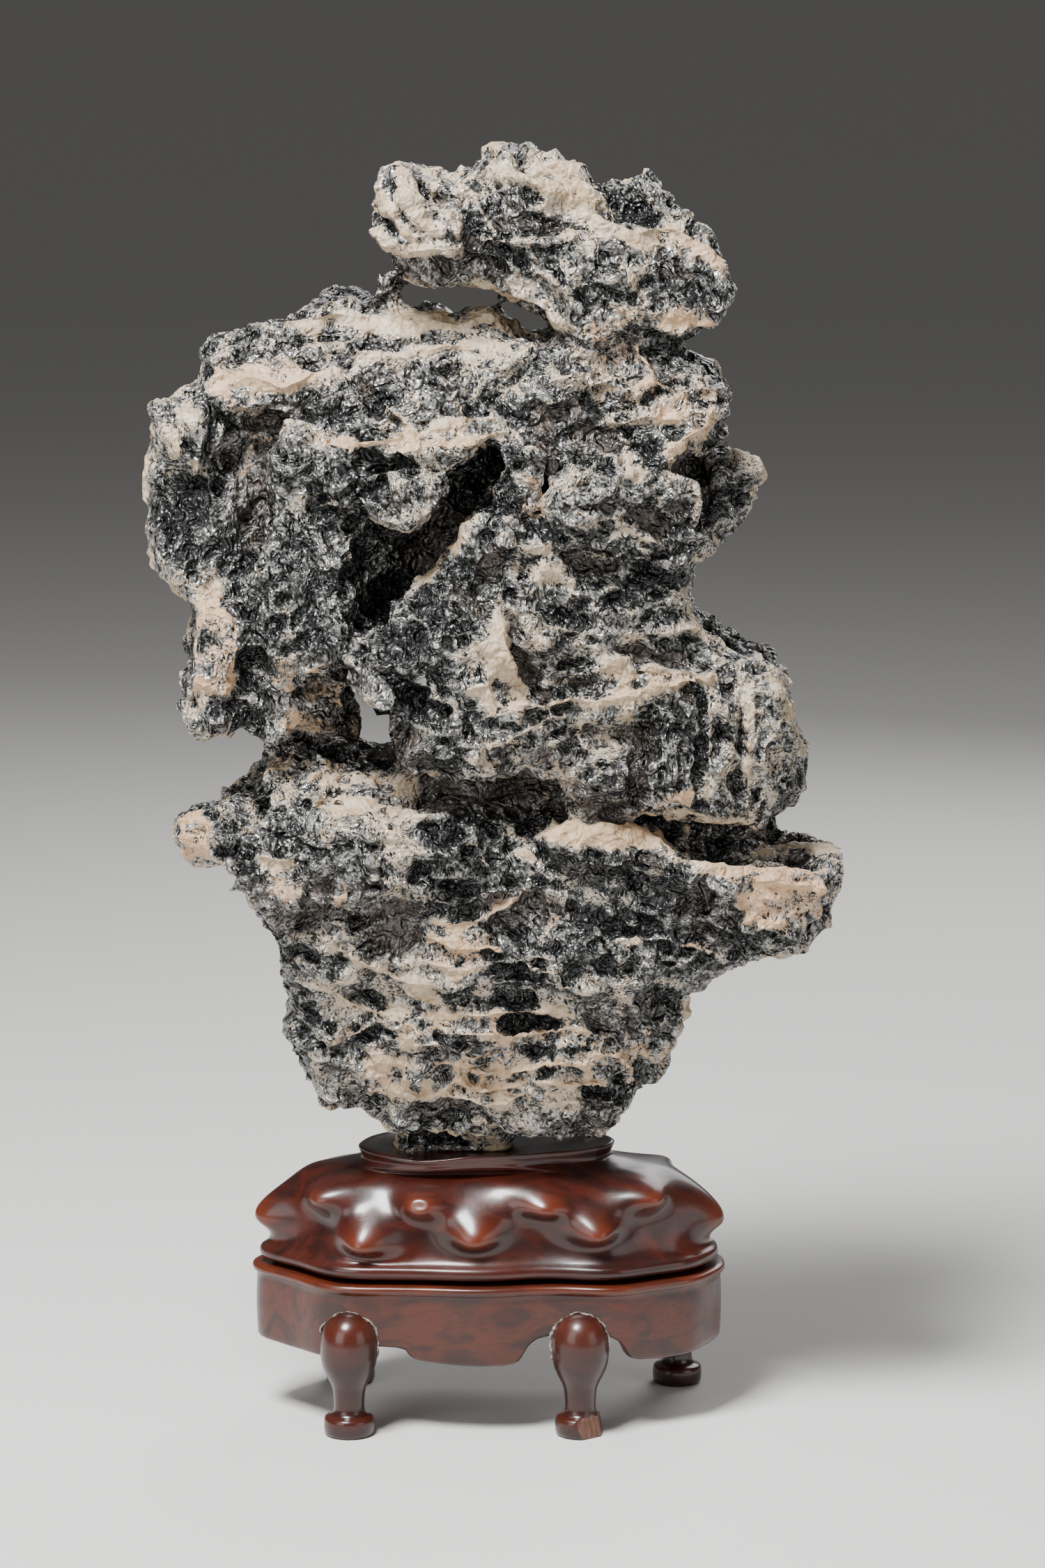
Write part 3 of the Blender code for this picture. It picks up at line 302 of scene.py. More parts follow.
# How much pale crust covers the front, painted in this order: the middle (x, z), half sizes, tilt in degrees
# and the share
CRUST_PATCHES = (
    ((15, 390), (62, 34), -8, 0.50),
    ((22, 404), (20, 8), -20, 0.80),
    ((-24, 398), (14, 14), -50, 0.62),
    ((5, 405), (16, 8), 0, 0.60),
    ((45, 392), (20, 5), 4, 0.88),
    ((66, 386), (8, 9), -50, 0.85),
    ((-14, 380), (20, 5), 0, 0.30),
    ((30, 376), (26, 10), -20, 0.40),
    ((60, 376), (12, 9), 0, 0.35),
    ((36, 365), (8, 5), 20, 0.95),
    ((62, 364), (9, 5), 20, 0.90),
    ((47, 403), (12, 9), -30, 0.30),
    ((-45, 356), (52, 17), 8, 0.62),
    ((-74, 346), (18, 8), 0, 0.92),
    ((-84, 355), (7, 5), 0, 0.45),
    ((-20, 364), (44, 5), 0, 0.85),
    ((-18, 342), (30, 10), 0, 0.42),
    ((-53, 337), (9, 8), -20, 0.22),
    ((9, 344), (9, 13), 0, 0.38),
    ((2, 355), (14, 6), 0, 0.72),
    ((-25, 326), (32, 2.5), 2, 0.80),
    ((-100, 324), (12, 16), -20, 0.72),
    ((-92, 326), (6, 6), 0, 0.35),
    ((-90, 300), (18, 16), 0, 0.14),
    ((-75, 312), (5, 18), 0, 0.55),
    ((-63, 322), (7, 11), 0, 0.28),
    ((-48, 314), (12, 8), 0, 0.22),
    ((-25, 309), (17, 8), 0, 0.45),
    ((-56, 286), (15, 20), 0, 0.20),
    ((-30, 290), (9, 16), -45, 0.20),
    ((-14, 293), (18, 5), 48, 0.75),
    ((38, 342), (34, 18), 0, 0.52),
    ((28, 336), (8, 6), 0, 0.15),
    ((44, 350), (10, 10), -30, 0.85),
    ((62, 330), (10, 12), 10, 0.88),
    ((66, 349), (8, 7), -45, 0.35),
    ((10, 318), (9, 8), 0, 0.35),
    ((15, 312), (6, 12), -10, 0.85),
    ((45, 308), (24, 14), 0, 0.38),
    ((24, 310), (5, 10), -25, 0.42),
    ((44, 318), (5, 6), 0, 0.85),
    ((42, 297), (20, 3), -10, 0.62),
    ((20, 287), (12, 8), 0, 0.60),
    ((78, 310), (9, 12), 0, 0.35),
    ((45, 284), (20, 7), 0, 0.20),
    ((32, 273), (28, 8), 0, 0.30),
    ((2, 295), (12, 10), 0, 0.50),
    ((-14, 270), (14, 10), 0, 0.30),
    ((-38, 254), (12, 12), 0, 0.45),
    ((5, 254), (5, 14), 18, 0.80),
    ((22, 256), (12, 9), 0, 0.38),
    ((62, 258), (26, 8), -15, 0.50),
    ((40, 246), (37, 2.0), 8, 0.80),
    ((-2, 243), (7, 6), 0, 0.85),
    ((-16, 238), (12, 10), 0, 0.30),
    ((10, 233), (17, 5), 18, 0.62),
    ((34, 225), (12, 6), -10, 0.52),
    ((60, 226), (12, 18), 0, 0.34),
    ((62, 211), (6, 4), 0, 0.85),
    ((92, 224), (11, 14), 10, 0.58),
    ((-5, 214), (26, 6), 0, 0.14),
    ((35, 210), (12, 8), 0, 0.18),
    ((-88, 256), (9, 22), 0, 0.95),
    ((-92, 240), (7, 5), 0, 0.45),
    ((-74, 266), (6, 6), 0, 0.10),
    ((-75, 240), (9, 8), 0, 0.40),
    ((-58, 244), (12, 14), 0, 0.80),
    ((-50, 218), (30, 8), -6, 0.88),
    ((-60, 212), (12, 4), 0, 0.50),
    ((-68, 202), (20, 8), -8, 0.32),
    ((-44, 208), (14, 3), 0, 0.80),
    ((-46, 198), (14, 6), 0, 0.40),
    ((-96, 199), (6.5, 11), 0, 0.98),
    ((-69, 190), (8, 3), -10, 0.95),
    ((-58, 182), (16, 5), -5, 0.75),
    ((-25, 206), (10, 4), 10, 0.60),
    ((-27, 196), (8, 6), 0, 0.60),
    ((-20, 184), (14, 7), -25, 0.22),
    ((-4, 190), (7, 9), 0, 0.28),
    ((6, 195), (8, 7), -30, 0.35),
    ((12, 190), (8, 4), -30, 0.80),
    ((36, 199), (21, 5), -4, 0.97),
    ((70, 196), (12, 6), 10, 0.35),
    ((96, 193), (14, 5), -4, 0.60),
    ((86, 188), (26, 1.6), 0, 0.95),
    ((40, 186), (13, 7), -20, 0.14),
    ((64, 180), (12, 9), 0, 0.12),
    ((94, 177), (18, 10), 0, 0.92),
    ((-60, 172), (14, 8), 0, 0.30),
    ((-33, 168), (12, 11), 0, 0.25),
    ((-5, 126), (60, 34), 0, 0.78),
    ((-52, 152), (17, 7), -20, 0.62),
    ((-54, 157), (9, 4), -20, 0.25),
    ((10, 172), (16, 9), 0, 0.68),
    ((-8, 165), (14, 7), 0, 0.92),
    ((10, 152), (11, 4.5), -8, 0.16),
    ((-10, 147), (9, 4), -28, 0.16),
    ((8, 145), (7, 3), -10, 0.22),
    ((26, 156), (4, 7), 15, 0.14),
    ((35, 165), (6, 3.5), -10, 0.15),
    ((52, 157), (8, 6), 0, 0.28),
    ((64, 162), (12, 5), -10, 0.55),
    ((-11, 132), (10, 4), -20, 0.20),
    ((-36, 135), (8, 5), 20, 0.20),
    ((10, 138), (8, 1.8), 0, 0.15),
    ((13, 128), (5, 1.8), 0, 0.12),
    ((28, 129), (5, 1.8), 0, 0.12),
    ((37, 112), (9, 4), -10, 0.22),
    ((-24, 124), (5, 4), 0, 0.40),
    ((-58, 134), (8, 6), 0, 0.25),
    ((54, 142), (6, 5), 0, 0.35),
    ((45, 139), (3, 6), 0, 0.20),
    ((-20, 104), (15, 9), 0, 0.18),
    ((-24, 97), (12, 4), 0, 0.50),
    ((20, 104), (18, 5), 0, 0.40),
    ((-47, 120), (9, 8), 0, 0.25),
)
# Where the crust turns from cream to peach
BLUSH_PATCHES = (
    ((66, 387), (9, 6), -30, 0.60),
    ((74, 376), (5, 8), 0, 0.80),
    ((36, 363), (12, 6), 10, 0.90),
    ((62, 364), (9, 6), 20, 0.75),
    ((48, 350), (12, 10), 0, 0.65),
    ((62, 333), (12, 16), 0, 0.60),
    ((-72, 345), (22, 9), 0, 0.55),
    ((-28, 326), (34, 4), 0, 0.60),
    ((-75, 312), (6, 20), 0, 0.60),
    ((15, 312), (7, 14), 0, 0.80),
    ((28, 333), (14, 10), 0, 0.40),
    ((40, 246), (38, 5), 8, 0.45),
    ((-88, 256), (11, 24), 0, 0.90),
    ((-60, 246), (14, 14), 0, 0.75),
    ((-50, 222), (26, 6), 0, 0.40),
    ((-97, 199), (8, 12), 0, 0.85),
    ((-60, 181), (18, 7), 0, 0.95),
    ((38, 198), (24, 6), 0, 0.60),
    ((86, 186), (28, 4), 0, 0.65),
    ((94, 176), (20, 12), 0, 0.95),
    ((-8, 164), (16, 9), 0, 0.70),
    ((10, 172), (18, 9), 0, 0.70),
    ((50, 166), (20, 8), 0, 0.75),
    ((0, 128), (56, 16), 0, 0.50),
    ((50, 132), (10, 20), 0, 0.60),
    ((-42, 120), (10, 14), 0, 0.50),
    ((60, 211), (7, 5), 0, 0.80),
    ((-13, 247), (2, 2), 0, 0.95),
)
# Recesses stained taupe: the middle, half sizes, tilt and strength
STAIN_PATCHES = (
    ((-15, 379), (20, 5), 0, 0.80),
    ((-17, 402), (4, 6), -30, 0.70),
    ((-34, 397), (3, 5), -20, 0.70),
    ((20, 393), (6, 3), 30, 0.70),
    ((-8, 388), (6, 4), 0, 0.60),
    ((8, 396), (7, 3), 0, 0.60),
    ((14, 364), (14, 6), -25, 0.90),
    ((60, 380), (4, 4), 0, 0.60),
    ((-34, 372), (4, 5), 0, 0.70),
    ((-71, 334), (10, 4), 20, 0.80),
    ((-76, 312), (5, 18), 0, 0.80),
    ((-40, 344), (3, 4), 0, 0.80),
    ((-28, 307), (6, 3), 0, 0.70),
    ((-20, 298), (20, 8), 50, 0.70),
    ((17, 322), (4, 9), 0, 0.70),
    ((14, 307), (6, 5), 0, 0.55),
    ((32, 328), (7, 5), 0, 0.80),
    ((16, 333), (5, 5), 0, 0.80),
    ((25, 337), (5, 4), 0, 0.80),
    ((67, 335), (5, 5), 0, 0.55),
    ((42, 357), (7, 4), -20, 0.70),
    ((36, 304), (8, 3), 0, 0.90),
    ((50, 302), (8, 3), -40, 0.90),
    ((61, 304), (5, 3), 0, 0.80),
    ((66, 316), (7, 10), 0, 0.80),
    ((0, 287), (5, 5), 0, 0.85),
    ((-6, 276), (8, 3), -40, 0.80),
    ((30, 287), (12, 3), 0, 0.70),
    ((12, 257), (4, 16), 22, 0.80),
    ((50, 258), (13, 3), -6, 0.90),
    ((45, 267), (3, 3), 0, 0.80),
    ((62, 247), (4, 4), 0, 0.60),
    ((34, 232), (6, 4), 0, 0.70),
    ((44, 233), (5, 2.5), 0, 0.80),
    ((48, 222), (4, 16), 8, 0.80),
    ((88, 243), (4, 7), 0, 0.50),
    ((2, 214), (34, 7), 0, 0.90),
    ((34, 207), (14, 4), 0, 0.80),
    ((17, 223), (8, 7), 0, 0.90),
    ((-28, 226), (10, 8), 0, 0.70),
    ((-56, 244), (15, 14), 0, 0.55),
    ((-30, 214), (10, 6), -20, 0.80),
    ((-35, 190), (4, 8), -20, 0.60),
    ((-60, 180), (18, 7), 0, 0.70),
    ((50, 193), (8, 3), -25, 0.70),
    ((28, 186), (8, 5), 0, 0.50),
    ((10, 176), (16, 6), 0, 0.75),
    ((-32, 168), (11, 12), 0, 0.85),
    ((-60, 172), (14, 6), 0, 0.80),
    ((70, 176), (10, 10), 0, 0.50),
    ((28, 106), (22, 6), 0, 0.60),
    ((-18, 110), (18, 3), 0, 0.70),
    ((40, 142), (16, 8), 0, 0.40),
    ((-50, 118), (10, 8), 0, 0.60),
)

# The stand, seen from above: the front half of its lobed outline from left to right. The back mirrors it
STAND_FRONT = (
    (-81, 0), (-79, -7), (-73, -13), (-66, -20), (-60, -28), (-54, -33.5), (-46, -36), (-36, -36.5),
    (-22, -37), (-8, -39), (3, -38.5), (13, -36), (24, -35.5), (36, -37.5), (44, -36.5), (51, -32.5),
    (59, -28), (68, -23), (74, -14), (77.5, -6), (78, 0),
)
STAND_HALF = (79.0, 38.0)
DISH_HALF = (42, 22)
DISH_RIM = (
    (-46, -4), (-42, -12), (-32, -19), (-20, -22), (-6, -22), (6, -19), (16, -14), (28, -11), (38, -7),
    (42, 2), (38, 12), (26, 19), (8, 23), (-12, 24), (-30, 20), (-42, 10),
)
RIM_POINTS = 420
# The mound from its waist up to the brink of its top: how far in from the outline, and the height
MOUND_PROFILE = (
    (6.5, 50.3), (6.4, 50.9), (6.0, 51.3), (4.8, 51.4), (3.6, 51.6), (2.9, 52.2), (2.5, 53.0), (2.4, 53.9),
    (2.6, 54.8), (3.1, 55.5), (3.9, 56.0), (4.9, 56.6), (5.9, 57.6), (6.8, 59.0), (7.7, 60.7), (8.6, 62.6),
    (9.5, 64.6), (10.3, 66.8), (11.1, 69.0), (11.9, 71.2), (12.8, 73.4), (13.8, 75.6), (15.0, 77.7),
    (16.4, 79.6), (18.0, 81.1), (19.8, 82.2), (21.8, 82.9), (23.8, 83.2),
)
MOUND_LOOPS = 110
# From the brink to the dish: share of the way to the dish's outline, its size there, and the height
VALLEY_PROFILE = ((0.25, 1.0, 83.5), (0.55, 1.0, 84.0), (0.8, 1.0, 84.7), (0.95, 0.98, 85.4))
DISH_PROFILE = (
    (0.965, 85.7), (0.955, 86.2), (0.955, 86.8), (0.965, 87.5), (0.985, 88.2), (1.0, 88.9), (1.0, 89.6),
    (0.985, 90.0), (0.96, 90.0), (0.93, 89.7), (0.89, 89.2), (0.84, 88.9), (0.76, 88.7), (0.6, 88.7),
    (0.4, 88.7), (0.2, 88.7),
)
# The carved knobs: the tip (x, y, z), half width, half height and droop
KNOBS = (
    ((-80, -4, 68), 10, 7, 2.0),
    ((-62, -25, 77), 9, 5.5, 1.5),
    ((-45, -36, 65), 9.5, 5, 3.0),
    ((-25, -34, 75.5), 8, 4.6, 1.0),
    ((-6, -38, 67), 9.5, 5.2, 3.0),
    ((18, -35, 76), 9, 5, 1.5),
    ((36, -37, 68), 9.5, 4.8, 2.5),
    ((56, -28, 77.5), 9, 5.5, 1.0),
    ((78, -4, 68), 11, 7.5, 3.0),
    ((60, 21, 79), 9, 6, 1.0),
    ((-58, 25, 76), 12, 8, 3.0),
    ((-28, 36, 70), 11, 8, 3.0),
    ((2, 35, 75), 11, 8, 3.0),
    ((33, 35, 69), 11, 8, 3.0),
)
KNOB_REACH = (12.0, 24.0)
# The small carved ring between two knobs, as seen from the front: its middle (x, z) and half sizes
RING_MIDDLE = (-23.7, 76.8)
RING_HALF = (3.2, 2.2)
# Hills and dips of the mound seen from above: the middle (x, y) and half sizes
FRONT_SWELL = ((8, -25), (20, 5))
RIM_DIP = ((-26, -20), (16, 9))

# The apron
APRON_TOP_Z = 50.0
APRON_CEILING_Z = 36.0
ARCH_TOP_Z = 33.0
LOBE_BOTTOM_Z = 23.4
# Round the apron's lower edge: how far in from the outline, and the height over the edge
APRON_LIP = ((6.6, 1.0), (6.0, 0.2), (4.6, 0.0), (2.9, 0.0), (2.0, 0.35), (1.6, 1.1))
SKIRT_LOOPS = 12
# The flange along its top: how far in from the outline, and the height
APRON_FLANGE = (
    (1.3, 46.9), (0.6, 47.3), (0.1, 48.0), (0.0, 48.8), (0.3, 49.6), (1.0, 50.0), (2.5, 50.0), (5.0, 50.0),
    (9.0, 50.0),
)
# The front's lower edge from left to right (x, z): lobes with a cusp at their ends, and arches for the legs
APRON_EDGE = (
    (-81, 24.6), (-68, 24.2), (-59, 24.6), (-57, 26.0), (-55, 28.6), (-40, 29.6), (-31, 29.0), (-28.6, 28.4),
    (-27.4, 26.6), (-25.6, 25.4), (-22, 24.4), (-14, 23.6), (-4, 23.2), (4, 23.3), (8, 23.8), (9.6, 24.8),
    (10.8, 27.0), (12.4, 29.8), (15, 31.8), (19, 32.8), (39, 32.8), (42, 31.4), (44, 29.2), (45.4, 26.6),
    (47, 25.2), (50, 24.2), (58, 23.4), (66, 23.6), (72, 24.4), (78, 24.8),
)
# Legs: place, then where the arch ends left and right of it, at its top and at the lower edge
LEGS = {
    "leg_front_left": ((-47.0, -34.0), (-10.0, 12.0), (-14.0, 24.0)),
    "leg_front_right": ((29.0, -34.0), (-12.0, 12.0), (-22.0, 22.0)),
    "leg_back_right": ((63.0, 27.0), (-12.0, 12.0), (-22.0, 22.0)),
    "leg_back_left": ((-49.0, 28.0), (-12.0, 12.0), (-22.0, 22.0)),
}
# The foot pad that is broken off in front and on the right. Each break: the way it faces, in degrees from
# the front to the right, and how far out from the leg's middle it lies
CHIPPED_LEG = "leg_front_right"
CHIP_TOP_Z = 7.0
CHIPS = ((38, 5.5), (84, 5.9))
# Old glue round the top of each front leg: where it runs, in degrees from the leg's right over its top, and
# how thick it is
GLUE_ARCS = {
    "leg_front_left": ((-28, 62, 0.55), (70, 132, 0.40), (140, 176, 0.40)),
    "leg_front_right": ((-12, 58, 0.40), (62, 120, 0.40), (126, 205, 0.70), (196, 236, 1.25)),
}
# The middle of those arcs, how far out they lie, and how far they run down beside the leg
GLUE_MIDDLE_Z = 31.2
GLUE_REACH = 9.6
GLUE_DROP = 14
# The turned leg: how many steps round it has, and from top to bottom its radius and height
LEG_STEPS = 48
LEG_PROFILE = (
    (0.0, 41.0), (1.8, 40.85), (3.6, 40.3), (5.3, 39.3), (6.8, 37.9), (8.0, 36.1), (8.8, 34.0), (9.25, 31.5),
    (9.4, 29.0), (9.35, 26.5), (9.05, 24.2), (8.45, 22.2), (7.6, 20.3), (6.75, 18.6), (6.05, 17.2),
    (5.6, 16.0), (5.3, 14.4), (5.1, 12.4), (5.0, 10.4), (5.05, 9.0), (5.3, 7.9), (5.8, 7.1), (6.6, 6.6),
    (7.5, 6.35), (8.05, 5.9), (8.3, 5.0), (8.35, 3.4), (8.3, 1.6), (8.0, 0.6), (7.4, 0.0), (4.0, 0.0),
    (0.0, 0.0),
)


def turn_matrix(*angles):
    return np.array(Euler([math.radians(angle) for angle in angles]).to_matrix())


# How the lattices of the facets lie, so that no two layers line up
TURNS = (turn_matrix(31, 17, 48), turn_matrix(-22, 39, 11), turn_matrix(12, -33, 71), turn_matrix(64, 8, -27))


def hashed(cells, seed):
    """A number from 0 to 1 for each whole-numbered cell, the same on every run."""
    mixed = cells[..., 0] * 73856093 ^ cells[..., 1] * 19349663 ^ cells[..., 2] * 83492791
    mixed = (mixed ^ seed * 2654435761) & 0xFFFFFFFF
    mixed = (mixed ^ mixed >> 15) * 0x2C1B3C6D & 0xFFFFFFFF
    mixed = (mixed ^ mixed >> 12) * 0x297A2D39 & 0xFFFFFFFF
    return (mixed ^ mixed >> 15) / 0xFFFFFFFF


def noise(points, size, seed):
    """Smooth noise from -1 to 1, with waves about size long."""
    at = points / size
    cell = np.floor(at).astype(np.int64)
    ease = at - cell
    ease = ease * ease * (3 - 2 * ease)
    total = np.zeros(len(points))
    for corner in np.ndindex(2, 2, 2):
        weight = np.where(np.array(corner), ease, 1 - ease).prod(axis=1)
        total += weight * hashed(cell + corner, seed)
    return 2 * total - 1


def fractal(points, size, seed, layers=3):
    """Noise from -1 to 1 in layers, each half as large and half as strong as the last."""
    total = sum(noise(points, size / 2**layer, seed + layer) / 2**layer for layer in range(layers))
    return total / (2 - 2 ** (1 - layers))


def warped(points, size, reach, seed):
    """The points moved about at random, so that what is laid over them bends."""
    shifts = [fractal(points, size, seed + 20 * axis) for axis in range(3)]
    return points + reach * np.stack(shifts, axis=1)


def facets(points, size, seed):
    """Noise from -1 to 1 made of flat facets about size long, which meet at sharp edges."""
    turned = points @ TURNS[seed % len(TURNS)] / size
    cell = np.floor(turned).astype(np.int64)
    part = turned - cell
    order = np.argsort(-part, axis=1)
    steps = np.take_along_axis(part, order, axis=1)
    rows = np.arange(len(points))
    total = (1 - steps[:, 0]) * hashed(cell, seed)
    for axis in range(3):
        cell[rows, order[:, axis]] += 1
        ahead = steps[:, axis + 1] if axis < 2 else 0
        total += (steps[:, axis] - ahead) * hashed(cell, seed)
    return 2 * total - 1


def smooth_step(value, low, high):
    """0 below low, 1 above high, and an even change between them."""
    share = np.clip((value - low) / (high - low), 0, 1)
    return share * share * (3 - 2 * share)


def seen_from_front(points):
    """Where the eye meets each point on the plane FRONT_PLANE_Y: x and z."""
    share = (FRONT_PLANE_Y - EYE[1]) / (points[:, 1] - EYE[1])
    return EYE[0] + (points[:, 0] - EYE[0]) * share, EYE[2] + (points[:, 2] - EYE[2]) * share


def distance_to_line(x, z, line):
    """Distance of each point to a broken line, and how far along it that is, from 0 to 1."""
    nearest = np.full(len(x), 1e9)
    along = np.zeros(len(x))
    for index, ((x0, z0), (x1, z1)) in enumerate(zip(line, line[1:])):
        dx, dz = x1 - x0, z1 - z0
        share = np.clip(((x - x0) * dx + (z - z0) * dz) / (dx * dx + dz * dz), 0, 1)
        gap = np.hypot(x - x0 - share * dx, z - z0 - share * dz)
        closer = gap < nearest
        nearest = np.where(closer, gap, nearest)
        along = np.where(closer, (index + share) / (len(line) - 1), along)
    return nearest, along


def strokes(x, z, lines):
    """The height that the ridges or grooves add at each point, and where they lie, from 0 to 1."""
    height = np.zeros(len(x))
    cover = np.zeros(len(x))
    for rise, half_width, line in lines:
        reach = 2.2 * half_width
        places = np.array(line)
        low, high = places.min(axis=0) - reach, places.max(axis=0) + reach
        near = np.flatnonzero((x > low[0]) & (x < high[0]) & (z > low[1]) & (z < high[1]))
        gap, along = distance_to_line(x[near], z[near], line)
        taper = smooth_step(np.minimum(along, 1 - along), -0.08, 0.15)
        shape = np.exp(-((gap / half_width) ** 1.4) * 1.25) * taper
        height[near] = np.maximum(height[near], rise * shape)
        cover[near] = np.maximum(cover[near], shape)
    return height, cover


def painted(x, z, start, patches):
    """A share at each point: the start, painted over with each soft-edged oval patch in turn."""
    share = start.copy()
    for (x0, z0), (half_x, half_z), tilt, value in patches:
        turn = math.radians(tilt)
        across = (x - x0) * math.cos(turn) + (z - z0) * math.sin(turn)
        up = (z - z0) * math.cos(turn) - (x - x0) * math.sin(turn)
        inside = 1 - smooth_step(np.hypot(across / half_x, up / half_z), 0.7, 1.2)
        share += (value - share) * inside
    return share


def co_of(mesh):
    """The mesh's points in millimetres."""
    points = np.empty(3 * len(mesh.vertices), np.float32)
    mesh.vertices.foreach_get("co", points)
    return points.reshape(-1, 3).astype(float) / MM


def normals_of(mesh):
    """The skin's direction outwards at each point."""
    normals = np.empty(3 * len(mesh.vertices), np.float32)
    mesh.vertices.foreach_get("normal", normals)
    return normals.reshape(-1, 3).astype(float)


def set_co(mesh, points):
    mesh.vertices.foreach_set("co", (points * MM).astype(np.float32).ravel())
    mesh.update()


def push(mesh, amount):
    """Moves each point along the skin's normal by its amount, in millimetres."""
    set_co(mesh, co_of(mesh) + normals_of(mesh) * amount[:, None])


def soften(mesh, rounds, share=0.5):
    """Moves each point towards the middle of its neighbours."""
    edges = np.empty(2 * len(mesh.edges), np.int32)
    mesh.edges.foreach_get("vertices", edges)
    first, second = edges.reshape(-1, 2).T
    count = len(mesh.vertices)
    neighbours = np.bincount(first, minlength=count) + np.bincount(second, minlength=count)
    points = co_of(mesh)
    for _ in range(rounds):
        middle = np.empty_like(points)
        for axis in range(3):
            total = np.bincount(first, points[second, axis], count)
            total += np.bincount(second, points[first, axis], count)
            middle[:, axis] = total / neighbours
        points += share * (middle - points)
    set_co(mesh, points)


def add_attribute(mesh, name, values):
    attribute = mesh.attributes.new(name, "FLOAT", "POINT")
    attribute.data.foreach_set("value", values.astype(np.float32))


def pick(obj):
    """Makes this the one selected and active object."""
    bpy.ops.object.select_all(action="DESELECT")
    obj.select_set(True)
    bpy.context.view_layer.objects.active = obj


def finish_piece(obj, material, slot, *nodes):
    """Hands a finished piece to the frame: its material and the nodes it stands for. The slot is not used."""
    obj.data.materials.clear()
    obj.data.materials.append(material)
    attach(obj, "root")
    if nodes:
        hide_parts(*nodes)


def copy_of_node(node, name):
    """A copy of a node's solid as a piece of its own, with its loose triangles merged."""
    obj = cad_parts[node].copy()
    obj.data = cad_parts[node].data.copy()
    obj.name = obj.data.name = name
    bpy.context.collection.objects.link(obj)
    pick(obj)
    bpy.ops.object.mode_set(mode="EDIT")
    bpy.ops.mesh.select_all(action="SELECT")
    bpy.ops.mesh.remove_doubles(threshold=0.01 * MM)
    bpy.ops.object.mode_set(mode="OBJECT")
    return obj


def apply_modifier(obj, kind, **settings):
    modifier = obj.modifiers.new(kind.lower(), kind)
    for name, value in settings.items():
        setattr(modifier, name, value)
    pick(obj)
    bpy.ops.object.modifier_apply(modifier=modifier.name)


class Shading:
    """A material's node tree, written down short."""

    def __init__(self, name):
        self.material = bpy.data.materials.new(name)
        self.material.use_nodes = True
        self.tree = self.material.node_tree
        self.shader = self.tree.nodes["Principled BSDF"]
        coordinates = self.tree.nodes.new("ShaderNodeTexCoord")
        self.place = coordinates.outputs["Object"]

    def connect(self, source, target):
        self.tree.links.new(source, target)

    def set(self, socket, value):
        if hasattr(value, "is_output"):
            self.connect(value, socket)
        else:
            socket.default_value = value

    def attribute(self, name):
        node = self.tree.nodes.new("ShaderNodeAttribute")
        node.attribute_name = name
        return node.outputs["Fac"]

    def mapped(self, scale=(1, 1, 1), turn=(0, 0, 0), shift=(0, 0, 0)):
        node = self.tree.nodes.new("ShaderNodeMapping")
        self.connect(self.place, node.inputs["Vector"])
        node.inputs["Scale"].default_value = scale
        node.inputs["Rotation"].default_value = [math.radians(angle) for angle in turn]
        node.inputs["Location"].default_value = shift
        return node.outputs["Vector"]

    def noise(self, size, detail=3.0, rough=0.55, distort=0.0, place=None):
        """Noise with waves about size millimetres long."""
        node = self.tree.nodes.new("ShaderNodeTexNoise")
        self.connect(place or self.place, node.inputs["Vector"])
        node.inputs["Scale"].default_value = 1 / (size * MM)
        node.inputs["Detail"].default_value = detail
        node.inputs["Roughness"].default_value = rough
        node.inputs["Distortion"].default_value = distort
        return node.outputs["Fac"]

    def ridged(self, size, detail, distort):
        """Noise folded into sharp crests: 1 on each crest."""
        fold = self.math("ABSOLUTE", self.math("SUBTRACT", self.noise(size, detail, 0.6, distort), 0.5))
        return self.math("MULTIPLY_ADD", fold, -3.0, 1.0, clamp=True)

    def math(self, operation, first, second=0.0, third=0.0, clamp=False):
        node = self.tree.nodes.new("ShaderNodeMath")
        node.operation = operation
        node.use_clamp = clamp
        for socket, value in zip(node.inputs, (first, second, third)):
            self.set(socket, value)
        return node.outputs["Value"]

    def ramp(self, value, low, high, to_low=0.0, to_high=1.0):
        node = self.tree.nodes.new("ShaderNodeMapRange")
        node.interpolation_type = "SMOOTHSTEP"
        names = ("From Min", "From Max", "To Min", "To Max")
        for name, number in zip(names, (low, high, to_low, to_high)):
            self.set(node.inputs[name], number)
        self.connect(value, node.inputs["Value"])
        return node.outputs["Result"]

    def mix(self, share, first, second):
        node = self.tree.nodes.new("ShaderNodeMix")
        node.data_type = "RGBA"
        self.set(node.inputs["Factor"], share)
        self.set(node.inputs[6], first)
        self.set(node.inputs[7], second)
        return node.outputs[2]

    def bump(self, height, distance, strength=1.0, after=None):
        node = self.tree.nodes.new("ShaderNodeBump")
        node.inputs["Distance"].default_value = distance * MM
        self.set(node.inputs["Strength"], strength)
        self.connect(height, node.inputs["Height"])
        if after:
            self.connect(after, node.inputs["Normal"])
        return node.outputs["Normal"]

    def finish(self, name, value):
        """Sets one of the shader's own sockets, or feeds it from a node."""
        self.set(self.shader.inputs[name], value)


def colour(red, green, blue):
    return (red, green, blue, 1.0)


